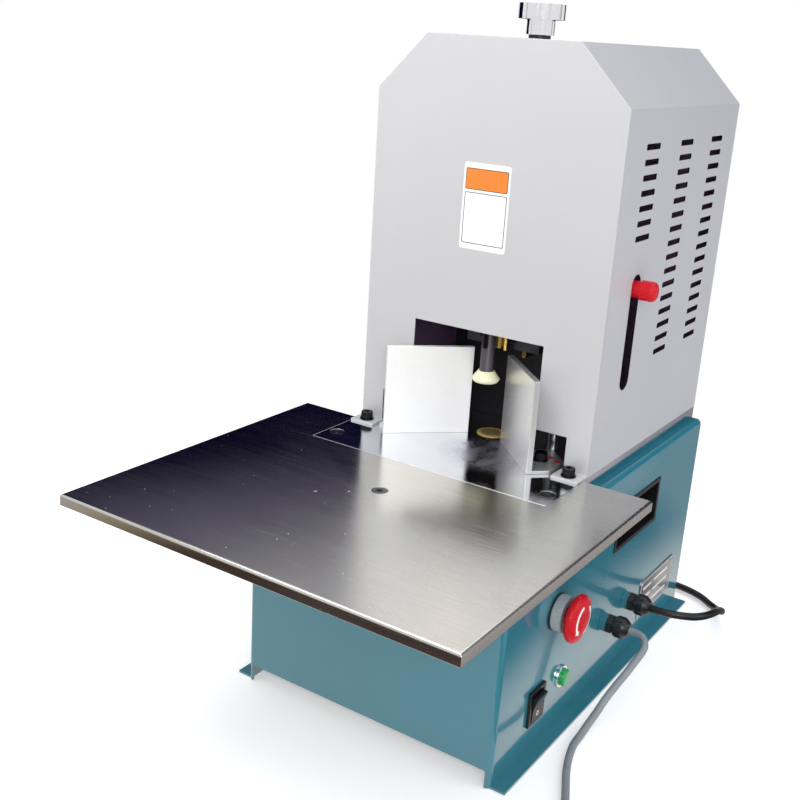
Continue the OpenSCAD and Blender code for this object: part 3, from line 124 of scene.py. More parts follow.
class Finish(Graph):
    """A material whose patterns follow Object coordinates."""

    def __init__(self, name):
        self.material = bpy.data.materials.new(name)
        self.material.use_nodes = True
        super().__init__(self.material.node_tree)
        self.shader = self.tree.nodes["Principled BSDF"]
        self.place = self.node("ShaderNodeTexCoord").outputs["Object"]

    def noise(self, scale, detail=3.0, stretch=(1, 1, 1), turn=0.0):
        mapping = self.node("ShaderNodeMapping")
        mapping.inputs["Scale"].default_value = stretch
        mapping.inputs["Rotation"].default_value = (0, 0, math.radians(turn))
        self.give(mapping.inputs["Vector"], self.place)
        made = self.node("ShaderNodeTexNoise")
        self.give(made.inputs["Vector"], mapping.outputs["Vector"])
        made.inputs["Scale"].default_value = scale
        made.inputs["Detail"].default_value = detail
        return made.outputs["Fac"]

    def bump(self, height, strength, distance):
        made = self.node("ShaderNodeBump")
        made.inputs["Strength"].default_value = strength
        made.inputs["Distance"].default_value = distance
        self.give(made.inputs["Height"], height)
        self.set(Normal=made.outputs["Normal"])

    def set(self, **values):
        for name, value in values.items():
            self.give(self.shader.inputs[name.replace("_", " ")], value)


def coated(name, colour, rough, vary=0.08, blotch=14.0, grain=420.0, bump=0.04, rough_vary=0.06, **fixed):
    """Paint, plastic or rubber: slow blotches of colour and a fine grain."""
    m = Finish(name)
    base = linear(colour)
    slow = m.noise(blotch, 4.0)
    fine = m.noise(grain, 2.0)
    tint = m.blend(m.spread(slow, 0.0, 1.0), shade(base, 1 - vary), shade(base, 1 + vary))
    m.set(Base_Color=m.blend(m.spread(fine, 0.0, vary), tint, shade(base, 0.6)))
    m.set(Roughness=m.spread(fine, rough - rough_vary, rough + rough_vary), **fixed)
    m.bump(fine, bump, 0.0003)
    return m.material


# Purple-grey tint of the oily film on the bed: partly the oil, partly a painted dark reflection
OIL_AND_REFLECTION_TINT = "a49cb8"


def bare(name, colour, rough, streak, scratch=0.3, bump=0.04, Metallic=1.0, oil_and_reflection=None, wear=None, **fixed):
    """Bare metal: brush lines along one axis, and scratches and specks across it.

    The oily film is given by its middle (x, y, z) and radius; its purple-grey tint is partly a painted dark
    reflection. wear is two places on the X axis and the roughness gained from the first to the second, all
    but the roughness in millimetres.
    """
    m = Finish(name)
    base = linear(colour)
    lines = m.noise(90.0, 5.0, streak)
    cuts = m.math("MAXIMUM", m.spread(m.noise(40.0, 3.0, (0.4, 14, 8), 34), 0, 1, 0.68, 0.74),
                  m.spread(m.noise(40.0, 3.0, (14, 0.4, 8), 12), 0, 1, 0.69, 0.74))
    cloud = m.noise(7.0, 3.0)
    tint = m.blend(m.spread(cloud, 0.0, 1.0), shade(base, 0.93), shade(base, 1.05))
    tint = m.blend(m.spread(lines, 0.0, 0.14), tint, shade(base, 0.65))
    specks = m.math("MULTIPLY", m.spread(m.noise(160.0, 1.0), 0.0, 1.0, 0.77, 0.79), scratch)
    marks = m.math("MAXIMUM", m.math("MULTIPLY", cuts, scratch * 0.25), specks)
    tint = m.blend(marks, tint, shade(base, 1.25))
    worn = m.math("ADD", m.spread(lines, rough - 0.03, rough + 0.04), m.math("MULTIPLY", marks, 0.4))
    worn = m.math("ADD", worn, m.spread(cloud, -0.015, 0.02))
    height = m.math("ADD", lines, m.math("MULTIPLY", cuts, -0.6))
    if wear:
        spot = m.node("ShaderNodeSeparateXYZ")
        m.give(spot.inputs[0], m.place)
        start, stop, gained = wear
        worn = m.math("ADD", worn, m.spread(spot.outputs[0], 0.0, gained, start * MM, stop * MM))
    if oil_and_reflection:
        far = m.node("ShaderNodeVectorMath", operation="DISTANCE")
        m.give(far.inputs[0], m.place)
        m.give(far.inputs[1], [c * MM for c in oil_and_reflection[:3]])
        ripples = m.noise(130.0, 3.0, (1, 0.55, 1), 40)
        reach = oil_and_reflection[3] * MM
        near = m.spread(far.outputs["Value"], 1.0, 0.0, 0.55 * reach, reach)
        film_and_reflection = m.math("MULTIPLY", near, m.spread(ripples, 0.55, 1.0, 0.34, 0.68))
        # Painted reflection: the film tints the steel purple-grey like the dark room it mirrors; its ripples
        # and roughness are the oil's own
        tint = m.blend(m.math("MULTIPLY", film_and_reflection, 0.7), tint, linear(OIL_AND_REFLECTION_TINT))
        worn = m.math("ADD", worn, m.math("MULTIPLY", film_and_reflection, 0.36))
        height = m.math("ADD", height, m.math("MULTIPLY", m.math("MULTIPLY", near, ripples), 5.0))
    m.set(Base_Color=tint, Roughness=worn, Metallic=Metallic, **fixed)
    m.bump(height, bump, 0.0002)
    return m.material


def sheet(name, colour, inside_shade, rough, centre, front, wall, cuts, **fixed):
    """Satin enamel on a folded hood, with painted shade: dark in its interior and near-black on the cut
    edges of the openings in its side walls.

    Faces behind front that turn towards centre count as the interior, and edges beyond wall and between the
    two cuts as cut edges.
    """
    m = Finish(name)
    base = linear(colour)
    slow = m.noise(5.0, 4.0)
    fine = m.noise(900.0, 2.0)
    normal = m.node("ShaderNodeNewGeometry").outputs["True Normal"]
    out = m.node("ShaderNodeVectorMath", operation="SUBTRACT")
    m.give(out.inputs[0], m.place)
    m.give(out.inputs[1], [c * MM for c in centre])
    facing = m.node("ShaderNodeVectorMath", operation="DOT_PRODUCT")
    m.give(facing.inputs[0], out.outputs["Vector"])
    m.give(facing.inputs[1], normal)
    spot = m.node("ShaderNodeSeparateXYZ")
    m.give(spot.inputs[0], m.place)
    side = m.node("ShaderNodeSeparateXYZ")
    m.give(side.inputs[0], normal)
    # Painted shade: cut edges of the openings in the side walls, made near-black where shade falls
    edge = m.math("LESS_THAN", m.math("ABSOLUTE", side.outputs[0]), 0.3)
    for operation, value, limit in (("GREATER_THAN", m.math("ABSOLUTE", spot.outputs[0]), wall),
                                    ("GREATER_THAN", spot.outputs[1], cuts[0]),
                                    ("LESS_THAN", spot.outputs[1], cuts[1])):
        edge = m.math("MULTIPLY", edge, m.math(operation, value, limit * MM))
    # Painted shade: faces of the hood's interior, given the dark purple interior colour where shade falls
    inner = m.math("MULTIPLY", m.math("LESS_THAN", facing.outputs["Value"], 0.0),
                   m.math("GREATER_THAN", spot.outputs[1], front * MM))
    tint = m.blend(m.spread(slow, 0.0, 1.0), shade(base, 0.98), shade(base, 1.02))
    tint = m.blend(inner, tint, linear(inside_shade))
    m.set(Base_Color=m.blend(edge, tint, shade(linear(inside_shade), 0.05)))
    m.set(Roughness=m.spread(fine, rough - 0.05, rough + 0.05), **fixed)
    m.bump(fine, 0.03, 0.0003)
    return m.material


def worn_pad(name, rim, middle_tone, place, radius):
    """Cutting pad: dull and cut up in the middle, paler at the rim."""
    m = Finish(name)
    far = m.node("ShaderNodeVectorMath", operation="DISTANCE")
    m.give(far.inputs[0], m.place)
    m.give(far.inputs[1], [c * MM for c in place])
    chips = m.noise(260.0, 4.0)
    edge = m.math("ADD", far.outputs["Value"], m.spread(chips, -0.0015, 0.0015))
    worn = m.spread(edge, 1.0, 0.0, 0.6 * radius * MM, 0.85 * radius * MM)
    tone = m.blend(worn, linear(rim), linear(middle_tone))
    chipped = shade(linear(middle_tone), 0.6)
    m.set(Base_Color=m.blend(m.spread(chips, 0.0, 0.25), tone, chipped), Roughness=0.5)
    m.bump(chips, 0.3, 0.0003)
    return m.material


looks = {
    "teal": coated("teal_enamel", "317c8c", 0.16, vary=0.04, blotch=6, grain=650, bump=0.02, rough_vary=0.03,
                   Coat_Weight=0.8, Coat_Roughness=0.05, IOR=1.55),
    # 9a7a9e is painted shade for the hood's interior
    "hood": sheet("grey_enamel", "c6c6c8", "9a7a9e", 0.38, (0, 145, 380), front=21.8, wall=110.9,
                  cuts=(30, 260), Metallic=0.15),
    "table": bare("brushed_stainless", "deddd6", 0.12, (0.16, 10, 10), scratch=0.6, bump=0.015,
                  wear=(-120, 110, 0.13)),
    "bed": bare("ground_steel", "eceef4", 0.06, (1.0, 30, 10), scratch=0.2, bump=0.14,
                oil_and_reflection=(30, 20, 212, 54)),
    "fence": bare("fence_steel", "f8f8f6", 0.32, (3, 3, 18), scratch=0.1, Metallic=0.25),
    # Right fence: a darker, more metallic copy of the fence steel, partly wear and partly painted shade on
    # the side turned from the key light
    "worn_shaded_fence": bare("worn_fence_steel", "e0e0de", 0.3, (3, 3, 18), scratch=0.3, Metallic=0.8),
    # Countersunk screws: dark grey as a painted reflection of the dark room that their polished heads mirror
    "screw": bare("screw_steel", "58585c", 0.24, (5, 5, 1.0), scratch=0.2),
    "steel": bare("turned_steel", "b4b5b8", 0.28, (5, 5, 1.0), scratch=0.2),
    "dull_steel": bare("dull_steel", "66636a", 0.45, (5, 5, 1.0), scratch=0.2, Metallic=0.8),
    "dark_steel": coated("black_oxide", "121214", 0.32, vary=0.2, grain=800, Metallic=0.6),
    "iron": coated("dark_machine_paint", "130d15", 0.55, vary=0.2, blotch=30, grain=500, bump=0.15),
    "bronze": bare("machined_bronze", "c4a35c", 0.28, (3, 3, 18), scratch=0.2),
    "blade": bare("gold_coated_steel", "cdae66", 0.24, (8, 8, 1.2), scratch=0.2),
    "chrome": coated("polished_chrome", "fbfbfc", 0.1, vary=0.03, grain=300, bump=0.01, rough_vary=0.03,
                     Metallic=1.0),
    "cream": coated("cream_nylon", "f1edc8", 0.42, vary=0.05, blotch=60, grain=900, bump=0.05,
                    Subsurface_Weight=0.08),
    "pad": worn_pad("cut_pad", "b39a52", "6f5f42", (0, 62, 212), 13),
    "red": coated("red_plastic", "d01424", 0.28, vary=0.05, blotch=40, grain=900, bump=0.02,
                  Specular_IOR_Level=0.25),
    "green": coated("green_plastic", "16a255", 0.22, vary=0.06, blotch=60, grain=900, bump=0.02,
                    Coat_Weight=0.4),
    "grey_plastic": coated("grey_plastic", "aeb4b8", 0.36, vary=0.06, blotch=60, grain=900),
    "black_plastic": coated("black_plastic", "17171a", 0.3, vary=0.2, blotch=50, grain=800, bump=0.05),
    "beige": coated("beige_plastic", "b9b3a5", 0.5, vary=0.05, blotch=20, grain=700),
    "cast": coated("cast_housing", "6d777d", 0.5, vary=0.1, blotch=40, grain=380, bump=0.25, Metallic=0.6),
    "motor": coated("motor_enamel", "34393d", 0.4, vary=0.1, blotch=30, grain=600, bump=0.08),
    "black_cord": coated("black_rubber", "101012", 0.36, vary=0.2, blotch=50, grain=700, bump=0.06),
    "grey_cord": coated("grey_rubber", "8f9397", 0.46, vary=0.08, blotch=50, grain=700, bump=0.06),
    "white_print": coated("white_print", "f0f0ec", 0.45, vary=0.03, blotch=60, grain=900),
    "orange_print": coated("orange_print", "e8812f", 0.42, vary=0.04, blotch=60, grain=900),
    "black_print": coated("black_print", "1b1b1d", 0.42, vary=0.1, blotch=60, grain=900),
    "plate": bare("plate_aluminium", "b9bcc2", 0.3, (1.2, 1.2, 40), scratch=0.2),
    # Raised bars and border of the data plate: near-white as painted glints on them
    "plate_painted_glint": bare("plate_relief", "f4f4f2", 0.3, (1.2, 1.2, 40), scratch=0.1, Metallic=0.3),
    "paint_dot": coated("red_paint_mark", "b81538", 0.35, vary=0.15, blotch=200, grain=900),
}

NODE_LOOKS = {
    "teal": "base_shell rear_panel",
    "hood": "hood_wrap hood_front hood_back",
    "table": "table_top",
    "bed": "cutter_bed",
    "fence": "fence_left",
    "worn_shaded_fence": "fence_right",
    "screw": "countersunk_screws",
    "steel": "cover_screws shaft_bearing drive_pinion ram_rack presser_guide clamp_pin "
             "return_spring lever_stub adjusting_rod",
    "dull_steel": "presser_tube ram_bar keeper_plates presser_carriage",
    "dark_steel": "cap_screws frame_screws holder_studs blade_holder",
    "iron": "table_frame column_plate slide_cheeks top_bracket",
    "bronze": "gib_strips carriage_bush",
    "blade": "blade",
    "chrome": "adjusting_knob start_bezel",
    "cream": "presser_foot",
    "pad": "cutting_pad",
    "red": "estop_head lever_grip",
    "green": "start_button",
    "grey_plastic": "estop_collar",
    "black_plastic": "knob_collar estop_block rocker_frame rocker hand_holds gland_bodies gland_nuts "
                     "mains_plug mains_tie switch_tie switch_connector",
    "beige": "control_unit",
    "cast": "gearbox",
    "motor": "motor",
    "black_cord": "mains_lead mains_coil",
    "grey_cord": "switch_lead switch_coil",
}

# Widths of the rounded edges, in millimetres, where they differ from the usual one
USUAL_EDGE = 0.35
EDGES = {"base_shell": 0.6, "table_top": 1.4, "cutter_bed": 0.9, "fence_left": 0.5, "fence_right": 0.5,
         "adjusting_knob": 0.8, "mains_plug": 1.6, "rocker": 0.8, "rocker_frame": 0.6, "control_unit": 1.5,
         "gearbox": 1.2, "presser_carriage": 0.8}
SHARP = "mains_lead mains_coil switch_lead switch_coil return_spring drive_pinion ram_rack".split()
SMOOTH_BELOW = math.radians(38)


def soften(obj, width):
    """Rounds the sharp edges of a CAD node, whose mesh comes in triangles split at them."""
    weld = obj.modifiers.new("weld", "WELD")
    weld.merge_threshold = 0.00001
    flat = obj.modifiers.new("flat_faces", "DECIMATE")
    flat.decimate_type = "DISSOLVE"
    flat.angle_limit = math.radians(0.5)
    bevel = obj.modifiers.new("edges", "BEVEL")
    bevel.width = width * MM
    bevel.segments = 2
    bevel.limit_method = "ANGLE"
    bevel.angle_limit = SMOOTH_BELOW
    bevel.harden_normals = True


for look, names in NODE_LOOKS.items():
    for name in names.split():
        mesh = nodes[name].data
        mesh.materials.clear()
        mesh.materials.append(looks[look])
        if "custom_normal" in mesh.attributes:
            mesh.attributes.remove(mesh.attributes["custom_normal"])
        mesh.shade_smooth()
        mesh.set_sharp_from_angle(angle=SMOOTH_BELOW)
        if name not in SHARP:
            soften(nodes[name], EDGES.get(name, USUAL_EDGE))


# Cords: the routes and coils of part.scad, in millimetres
def smooth(points, step):
    """A Catmull-Rom curve through points, sampled about every step."""
    pts = [Vector(p) for p in points]
    pts = [2 * pts[0] - pts[1]] + pts + [2 * pts[-1] - pts[-2]]
    out = []
    for a, b, c, d in zip(pts, pts[1:], pts[2:], pts[3:]):
        n = max(1, round((c - b).length / step))
        for t in (k / n for k in range(n)):
            out.append(0.5 * (2 * b + (c - a) * t + (2 * a - 5 * b + 4 * c - d) * t * t
                              + (3 * b - a - 3 * c + d) * t ** 3))
    return out + [pts[-2]]


def coil(radius, diameter, start, heading, side, turns=3, gap=0.6, tail=34.0, step=6.0):
    """In on the bench, up a layer in the half turn where the spiral reverses, and out on top."""
    pitch = diameter + gap
    half = 360.0 * turns
    forward = Vector(heading)
    outward = side * Vector((heading[1], -heading[0]))
    first = Vector(start[:2])
    points = []
    for k in range(int(2 * half / step) + 1):
        angle = step * k
        r = radius - pitch * (half - abs(angle - half)) / 360
        t = min(1.0, max(0.0, (angle - half + 90) / 180))
        a = math.radians(angle)
        flat = first - radius * outward + r * (outward * math.cos(a) + forward * math.sin(a))
        points.append(flat.to_3d() + Vector((0, 0, start[2] + pitch * t * t * (3 - 2 * t))))
    for t in (tail / 2, tail - diameter, tail):
        points.append((first + t * forward).to_3d() + Vector((0, 0, start[2] + pitch)))
    return points


def cord(name, route, diameter, radius, heading, side, look, replaced):
    """A lead along its route, with the rest of it coiled beyond the route's end."""
    start = Vector(route[-1]) + diameter * Vector(heading).to_3d()
    points = smooth(route, 3.0) + coil(radius, diameter, start, heading, side)
    curve = bpy.data.curves.new(name, "CURVE")
    curve.dimensions = "3D"
    curve.bevel_depth = diameter / 2 * MM
    curve.bevel_resolution = 4
    curve.use_fill_caps = True
    spline = curve.splines.new("POLY")
    spline.points.add(len(points) - 1)
    for point, p in zip(spline.points, points):
        point.co = (p * MM).to_4d()
    spline.use_smooth = True
    curve.materials.append(looks[look])
    obj = bpy.data.objects.new(name, curve)
    scene.collection.objects.link(obj)
    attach(obj, "frame")
    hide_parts(*replaced)


MAINS_ROUTE = [
    (142, 138, 54), (147, 138, 54),
    (159, 139, 54), (170, 143, 54), (179, 150, 53), (185, 159, 52), (188, 170, 50), (189, 183, 47),
    (188, 197, 42), (186, 211, 36), (184, 225, 29), (181, 239, 21), (176, 252, 14), (169, 265, 8),
    (159, 276, 5), (147, 285, 5), (133, 291, 5), (118, 294, 5), (102, 295, 5), (87, 295, 5),
    (72, 295, 5), (56, 295, 5), (42, 295, 5), (27, 295, 5),
]
SWITCH_ROUTE = [
    (142, 90, 52), (147, 90, 52), (152, 89, 52), (157, 86, 51), (161, 80, 49), (162, 73, 46),
    (161, 60, 42), (159, 48, 36), (156, 36, 29), (153, 23, 21), (151, 10, 13), (150, -4, 8),
    (150, -18, 5), (151, -32, 5), (154, -45, 5), (158, -58, 5), (163, -71, 5), (169, -84, 5),
    (175, -97, 5), (180, -109, 5), (184, -121, 5), (185, -132, 5), (185, -143, 5),
]
cord("mains_cord", MAINS_ROUTE, 7.0, 51.0, (-1, 0), -1, "black_cord", ["mains_lead", "mains_coil"])
cord("switch_cord", SWITCH_ROUTE, 6.5, 48.0, (0, -1), 1, "grey_cord", ["switch_lead", "switch_coil"])


# Small pieces that the CAD model leaves to the looks
def piece(name, mesh, look, body):
    """Makes an object of a bmesh, which rides on a body."""
    data = bpy.data.meshes.new(name)
    bmesh.ops.recalc_face_normals(mesh, faces=mesh.faces)
    mesh.to_mesh(data)
    mesh.free()
    data.materials.append(looks[look])
    data.shade_smooth()
    data.set_sharp_from_angle(angle=SMOOTH_BELOW)
    obj = bpy.data.objects.new(name, data)
    scene.collection.objects.link(obj)
    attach(obj, body)


def add_prism(mesh, outline, low, high, place=Matrix(), edge=0.0):
    """Adds a plate with that outline in millimetres, from low to high along the local z."""
    bottom = [mesh.verts.new(place @ Vector((x * MM, y * MM, low * MM))) for x, y in outline]
    face = mesh.faces.new(bottom)
    lifted = bmesh.ops.extrude_face_region(mesh, geom=[face])["geom"]
    up = [v for v in lifted if isinstance(v, bmesh.types.BMVert)]
    bmesh.ops.translate(mesh, verts=up, vec=place.to_3x3() @ Vector((0, 0, (high - low) * MM)))
    if edge:
        rim = [e for e in mesh.edges if all(v in up for v in e.verts)]
        bmesh.ops.bevel(mesh, geom=rim, offset=edge * MM, segments=2, profile=0.5, affect="EDGES",
                        material=-1)


def prism(*args, **kwargs):
    mesh = bmesh.new()
    add_prism(mesh, *args, **kwargs)
    return mesh


def rounded(w, h, r, x=0.0, y=0.0, n=6):
    """Outline of a rounded rectangle about (x, y)."""
    points = []
    for cx, cy, start in ((1, 1, 0), (-1, 1, 90), (-1, -1, 180), (1, -1, 270)):
        for a in (math.radians(start + 90 * k / n) for k in range(n + 1)):
            points.append((x + cx * (w / 2 - r) + r * math.cos(a), y + cy * (h / 2 - r) + r * math.sin(a)))
    return points


def band(mesh, inner, outer, low, high, place=Matrix()):
    """Adds a closed band between two outlines with the same number of points."""
    rings = []
    for outline, z in ((inner, low), (outer, low), (outer, high), (inner, high)):
        rings.append([mesh.verts.new(place @ Vector((x * MM, y * MM, z * MM))) for x, y in outline])
    for ring, other in zip(rings, rings[1:] + rings[:1]):
        for k in range(len(ring)):
            j = (k + 1) % len(ring)
            mesh.faces.new((ring[k], ring[j], other[j], other[k]))


def circle(r, n=48, x=0.0, y=0.0):
    turns = (2 * math.pi * k / n for k in range(n))
    return [(x + r * math.cos(a), y + r * math.sin(a)) for a in turns]


def fluted(low_r, high_r, ribs):
    """Outline of a ring of square ribs."""
    points = []
    for k in range(4 * ribs):
        a = 2 * math.pi * k / (4 * ribs)
        r = high_r if k % 4 < 2 else low_r
        points.append((r * math.cos(a), r * math.sin(a)))
    return points


def at(x, y, z, local_x=(1, 0, 0), local_y=(0, 1, 0)):
    """A place in millimetres whose local x and y run along the given directions."""
    lx, ly = Vector(local_x), Vector(local_y)
    turn = Matrix((lx, ly, lx.cross(ly))).transposed().to_4x4()
    return Matrix.Translation(Vector((x, y, z)) * MM) @ turn


def middle(node):
    low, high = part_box(node)
    return [(a + b) / 2 / MM for a, b in zip(low, high)]


ON_FRONT = ((1, 0, 0), (0, 0, 1))
ON_RIGHT = ((0, 1, 0), (0, 0, 1))
HOOD_SHEET = 1.5
front_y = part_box("hood_wrap")[0][1] / MM - HOOD_SHEET
wall_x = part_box("estop_collar")[0][0] / MM

# Plain two-colour sticker on the hood
STICKER = (-2.5, 416.0)
STICKER_SIZE = (43.0, 70.0)
STICKER_LINE = 1.0
# Width, height, corner radius, x and y of the coloured band and of the field under it
BAND = (39, 17, 1.2, 0, 22)
FIELD = (39, 41.5, 1.2, 0, -9.5)
sticker_place = at(STICKER[0], front_y, STICKER[1], *ON_FRONT)
piece("hood_sticker", prism(rounded(*STICKER_SIZE, 2.5), 0, 0.2, sticker_place), "white_print", "frame")
piece("hood_sticker_band", prism(rounded(*BAND), 0.15, 0.3, sticker_place), "orange_print", "frame")
lines = bmesh.new()
for w, h, r, x, y in (BAND, FIELD):
    hole = rounded(w - STICKER_LINE, h - STICKER_LINE, r, x, y)
    band(lines, hole, rounded(w, h, r, x, y), 0.15, 0.35, sticker_place)
piece("hood_sticker_lines", lines, "black_print", "frame")

# Blank data plate with plain raised bars, whose near-white colour is a painted glint
PLATE_AT = (202.0, 44.0)
PLATE_SIZE = (84.0, 40.0)
# Places along each row of bars and the lengths of the bars there
PLATE_ROWS = (10.0, 0.0, -10.0)
PLATE_BARS = ((-24, 20), (11, 36))
RIVET_AT = (38, 16.0)
plate_place = at(wall_x, *PLATE_AT, *ON_RIGHT)
piece("data_plate", prism(rounded(*PLATE_SIZE, 3), 0, 0.8, plate_place, edge=0.3), "plate", "frame")
relief = bmesh.new()
band(relief, rounded(79, 35, 2), rounded(80.4, 36.4, 2), 0.7, 1.0, plate_place)
for row in PLATE_ROWS:
    for x, w in PLATE_BARS:
        add_prism(relief, rounded(w, 2.6, 1.0, x, row), 0.7, 1.05, plate_place)
piece("data_plate_relief", relief, "plate_painted_glint", "frame")
rivets = bmesh.new()
for x in (-RIVET_AT[0], RIVET_AT[0]):
    for y in (-RIVET_AT[1], RIVET_AT[1]):
        add_prism(rivets, circle(1.5, 16, x, y), 0.6, 1.7, plate_place, edge=0.6)
piece("data_plate_rivets", rivets, "steel", "frame")

# Stop button: gasket and ribs on its collar, and the two turning arrows on its head
stop_y, stop_z = middle("estop_collar")[1:]
collar_place = at(wall_x, stop_y, stop_z, *ON_RIGHT)
gasket = bmesh.new()
band(gasket, circle(14.5), circle(15.8), 0.0, 1.5, collar_place)
piece("estop_gasket", gasket, "black_print", "frame")
ribs = bmesh.new()
band(ribs, circle(14.8, 160), fluted(15.05, 15.35, 40), 2.6, 9.4, collar_place)
piece("estop_ribs", ribs, "grey_plastic", "frame")

HEAD_L = 10.0
HEAD_FACE = ((15.0, 8.4), (11.0, 9.4), (8.0, 10.0))
head_place = at(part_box("estop_head")[1][0] / MM - HEAD_L, stop_y, stop_z, *ON_RIGHT)


def face_height(r):
    """Height of the head's face at a radius, between the points of its outline."""
    for (r1, h1), (r0, h0) in zip(HEAD_FACE, HEAD_FACE[1:]):
        if r >= r0:
            return h0 + (h1 - h0) * (r - r0) / (r1 - r0)
    return HEAD_FACE[-1][1]


ARROW_R = 12.3


def arrow(mesh, start, stop, tip, steps=24):
    """Adds a curved arrow on the head's face, from start to stop degrees with its tip beyond."""
    rings = []
    bows = [(start + (stop - start) * k / steps, 1.0) for k in range(steps + 1)]
    bows += [(stop + 0.5, 2.4), (stop + tip * 0.5, 1.25), (stop + tip, 0.1)]
    for degrees, half in bows:
        a = math.radians(degrees)
        ring = []
        for side, lift in ((-half, -0.3), (half, -0.3), (half, 0.15), (-half, 0.15)):
            r = ARROW_R + side
            spot = Vector((r * math.cos(a), r * math.sin(a), face_height(r) + lift))
            ring.append(mesh.verts.new(head_place @ (spot * MM)))
        rings.append(ring)
    for one, two in zip(rings, rings[1:]):
        for k in range(4):
            mesh.faces.new((one[k], one[k - 1], two[k - 1], two[k]))
    mesh.faces.new(rings[0])
    mesh.faces.new(rings[-1])


arrows = bmesh.new()
for turn in (100, 280):
    arrow(arrows, turn, turn + 110, 22)
piece("estop_arrows", arrows, "white_print", "estop")

# Off mark on the rocker, ribs on the gland nuts and knurls on the cap screws
ROCKER_MARK = (3.2, -6.9)
rocker_y, rocker_z = middle("rocker_frame")[1:]
mark = bmesh.new()
mark_place = at(wall_x + ROCKER_MARK[0], rocker_y, rocker_z + ROCKER_MARK[1], *ON_RIGHT)
band(mark, circle(1.3, 24), circle(2.1, 24), -0.4, 0.12, mark_place)
piece("rocker_mark", mark, "white_print", "rocker")

GLANDS = ((90, 52), (138, 54))
nut_ribs = bmesh.new()
for y, z in GLANDS:
    band(nut_ribs, circle(9.3, 48), fluted(9.45, 9.95, 12), 8.0, 14.6, at(wall_x, y, z, *ON_RIGHT))
piece("gland_ribs", nut_ribs, "black_plastic", "frame")

SCREWS = ((100.5, 11.0, 215.2), (67.9, 25.4, 216.2))
knurls = bmesh.new()
for x, y, z in SCREWS:
    for sx in (-x, x):
        band(knurls, circle(4.9, 112), fluted(5.0, 5.25, 28), 0.6, 5.2, at(sx, y, z))
piece("screw_knurls", knurls, "dark_steel", "frame")

# Red paint marks by the right fence's screw
PAINT = ((71, 36, 3.2), (81, 31, 2.6), (60, 40, 2.2))
FOOT_TOP = 215.0
paint = bmesh.new()
for x, y, r in PAINT:
    blob = [(x + r * c * (1 + 0.2 * math.sin(3 * k)), y + r * s) for k, (c, s) in enumerate(circle(1.0, 20))]
    add_prism(paint, blob, FOOT_TOP - 0.2, FOOT_TOP + 0.15)
piece("paint_marks", paint, "paint_dot", "frame")

# Floor: white to the camera; in reflections, pale by the machine and darker further off
WHITE = (1, 1, 1, 1)
PALE_TONE = (0.95, 0.88, 0.82, 1)
FRONT_TONES = ((0.04, 0.022, 0.021, 1), (0.40, 0.34, 0.25, 1))
BACK_TONE = (0.28, 0.27, 0.28, 1)
SIDE_TONES = ((0.02, 0.02, 0.025, 1), (0.46, 0.42, 0.43, 1))
# Middle and half length of the pale zone along x and y, in metres, and how far its sides lean
PALE_ZONE = ((-0.08, 0.36), (0.05, 0.47))
PALE_LEAN = 0.07
floor_mesh = bmesh.new()
bmesh.ops.create_grid(floor_mesh, x_segments=1, y_segments=1, size=8.0)
floor_data = bpy.data.meshes.new("floor")
floor_mesh.to_mesh(floor_data)
floor_mesh.free()
floor = bpy.data.objects.new("floor", floor_data)
floor.location = (0, 0, -0.0005)
scene.collection.objects.link(floor)

g = Finish("pale_floor")
rays = g.node("ShaderNodeLightPath").outputs
xyz = g.node("ShaderNodeSeparateXYZ")
g.give(xyz.inputs[0], g.place)
g.set(Base_Color=g.blend(g.noise(1.5, 2.0), (0.90, 0.90, 0.90, 1), (0.94, 0.94, 0.94, 1)), Roughness=0.9)
leaning = g.math("ADD", xyz.outputs[0], g.math("MULTIPLY", xyz.outputs[1], PALE_LEAN))
off_x, off_y = (g.math("DIVIDE", g.math("ABSOLUTE", g.math("SUBTRACT", value, mid)), half)
                for value, (mid, half) in zip((leaning, xyz.outputs[1]), PALE_ZONE))
away = g.math("MAXIMUM", g.spread(off_x, 0.0, 1.0, 0.66, 0.9, soft=True),
              g.spread(off_y, 0.0, 1.0, 0.9, 1.15, soft=True))
beside = g.spread(g.math("SUBTRACT", off_x, off_y), 0.0, 1.0, -0.1, 0.1)
front_tone = g.blend(g.spread(xyz.outputs[0], 1.0, 0.0, -0.52, -0.34), *FRONT_TONES)
end_tone = g.blend(g.math("GREATER_THAN", xyz.outputs[1], PALE_ZONE[1][0]), front_tone, BACK_TONE)
side_tone = g.blend(g.spread(off_x, 0.0, 1.0, 0.95, 1.17), *SIDE_TONES)
edge_tone = g.blend(beside, end_tone, side_tone)
mirrored = g.glow("ShaderNodeEmission", g.blend(away, PALE_TONE, edge_tone))
squares = [g.math("POWER", xyz.outputs[k], 2.0) for k in (0, 1)]
far = g.spread(g.math("SQRT", g.math("ADD", *squares)), 0.0, 1.0, 0.45, 0.85, soft=True)
lit = g.node("ShaderNodeAddShader")
g.give(lit.inputs[0], g.shader.outputs["BSDF"])
g.give(lit.inputs[1], g.glow("ShaderNodeEmission", WHITE, 0.35))
seen = g.shaders(far, lit.outputs["Shader"], g.glow("ShaderNodeEmission", WHITE))
surface = g.shaders(rays["Is Glossy Ray"], g.shader.outputs["BSDF"], mirrored)
surface = g.shaders(rays["Is Camera Ray"], surface, seen)
g.give(g.tree.nodes["Material Output"].inputs["Surface"], surface)
floor_data.materials.append(g.material)

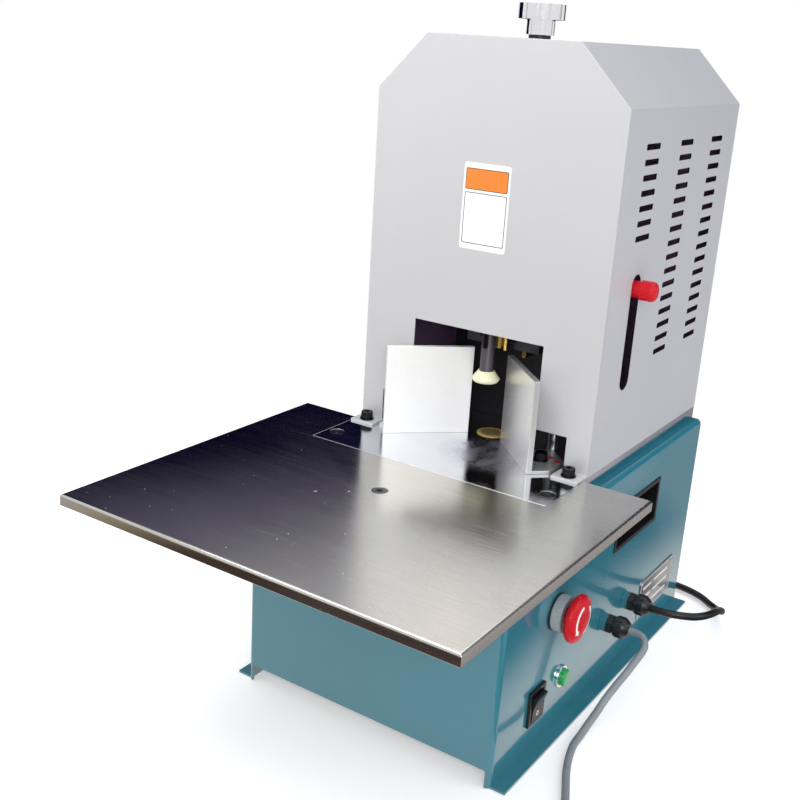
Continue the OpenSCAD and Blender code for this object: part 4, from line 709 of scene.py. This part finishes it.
# Backdrop: white to the camera; to the rest, a bright room whose far wall is dark behind the machine
ROOM_TONE = (0.80, 0.80, 0.82, 1)
WALL_TONES = ((0.001, 0.0, 0.014, 1), (0.09, 0.08, 0.14, 1))
TO_WALL = (-0.53, 0.85, 0.0)
world = bpy.data.worlds.new("studio")
scene.world = world
world.use_nodes = True
world.node_tree.nodes.clear()
g = Graph(world.node_tree)
rays = g.node("ShaderNodeLightPath").outputs
direction = g.node("ShaderNodeTexCoord").outputs["Generated"]
behind = g.node("ShaderNodeVectorMath", operation="DOT_PRODUCT")
g.give(behind.inputs[0], direction)
g.give(behind.inputs[1], TO_WALL)
xyz = g.node("ShaderNodeSeparateXYZ")
g.give(xyz.inputs[0], direction)
dark = g.math("MULTIPLY", g.spread(behind.outputs["Value"], 0.0, 1.0, -0.05, 0.5, soft=True),
              g.spread(xyz.outputs["Z"], 1.0, 0.0, 0.44, 0.74, soft=True))
wall = g.blend(g.spread(xyz.outputs["Z"], 0.0, 1.0, 0.375, 0.44, soft=True), *WALL_TONES)
room = g.glow("ShaderNodeBackground", g.blend(dark, ROOM_TONE, wall), 0.95)
backdrop = g.shaders(rays["Is Camera Ray"], room, g.glow("ShaderNodeBackground", WHITE))
g.give(g.node("ShaderNodeOutputWorld").inputs["Surface"], backdrop)


def softbox(name, place, target, size, power, tone=(1, 1, 1)):
    data = bpy.data.lights.new(name, "AREA")
    data.shape = "RECTANGLE"
    data.size, data.size_y = size
    data.energy = power
    data.color = tone
    obj = bpy.data.objects.new(name, data)
    obj.location = place
    obj.rotation_euler = (Vector(target) - Vector(place)).to_track_quat("-Z", "Y").to_euler()
    scene.collection.objects.link(obj)


softbox("key", (1.5, -2.1, 1.5), (0, 0, 0.3), (1.5, 1.5), 28)
softbox("fill", (-0.28, -0.42, 1.02), (-0.08, 0.02, 0.5), (0.5, 0.5), 3.5)
softbox("side", (2.2, 0.5, 1.4), (0.1, 0.1, 0.4), (1.2, 1.2), 9, (0.66, 0.76, 1.0))
softbox("top", (0.1, 0.1, 2.4), (0, 0, 0.3), (2.0, 2.0), 10)

scene.view_settings.view_transform = "Standard"
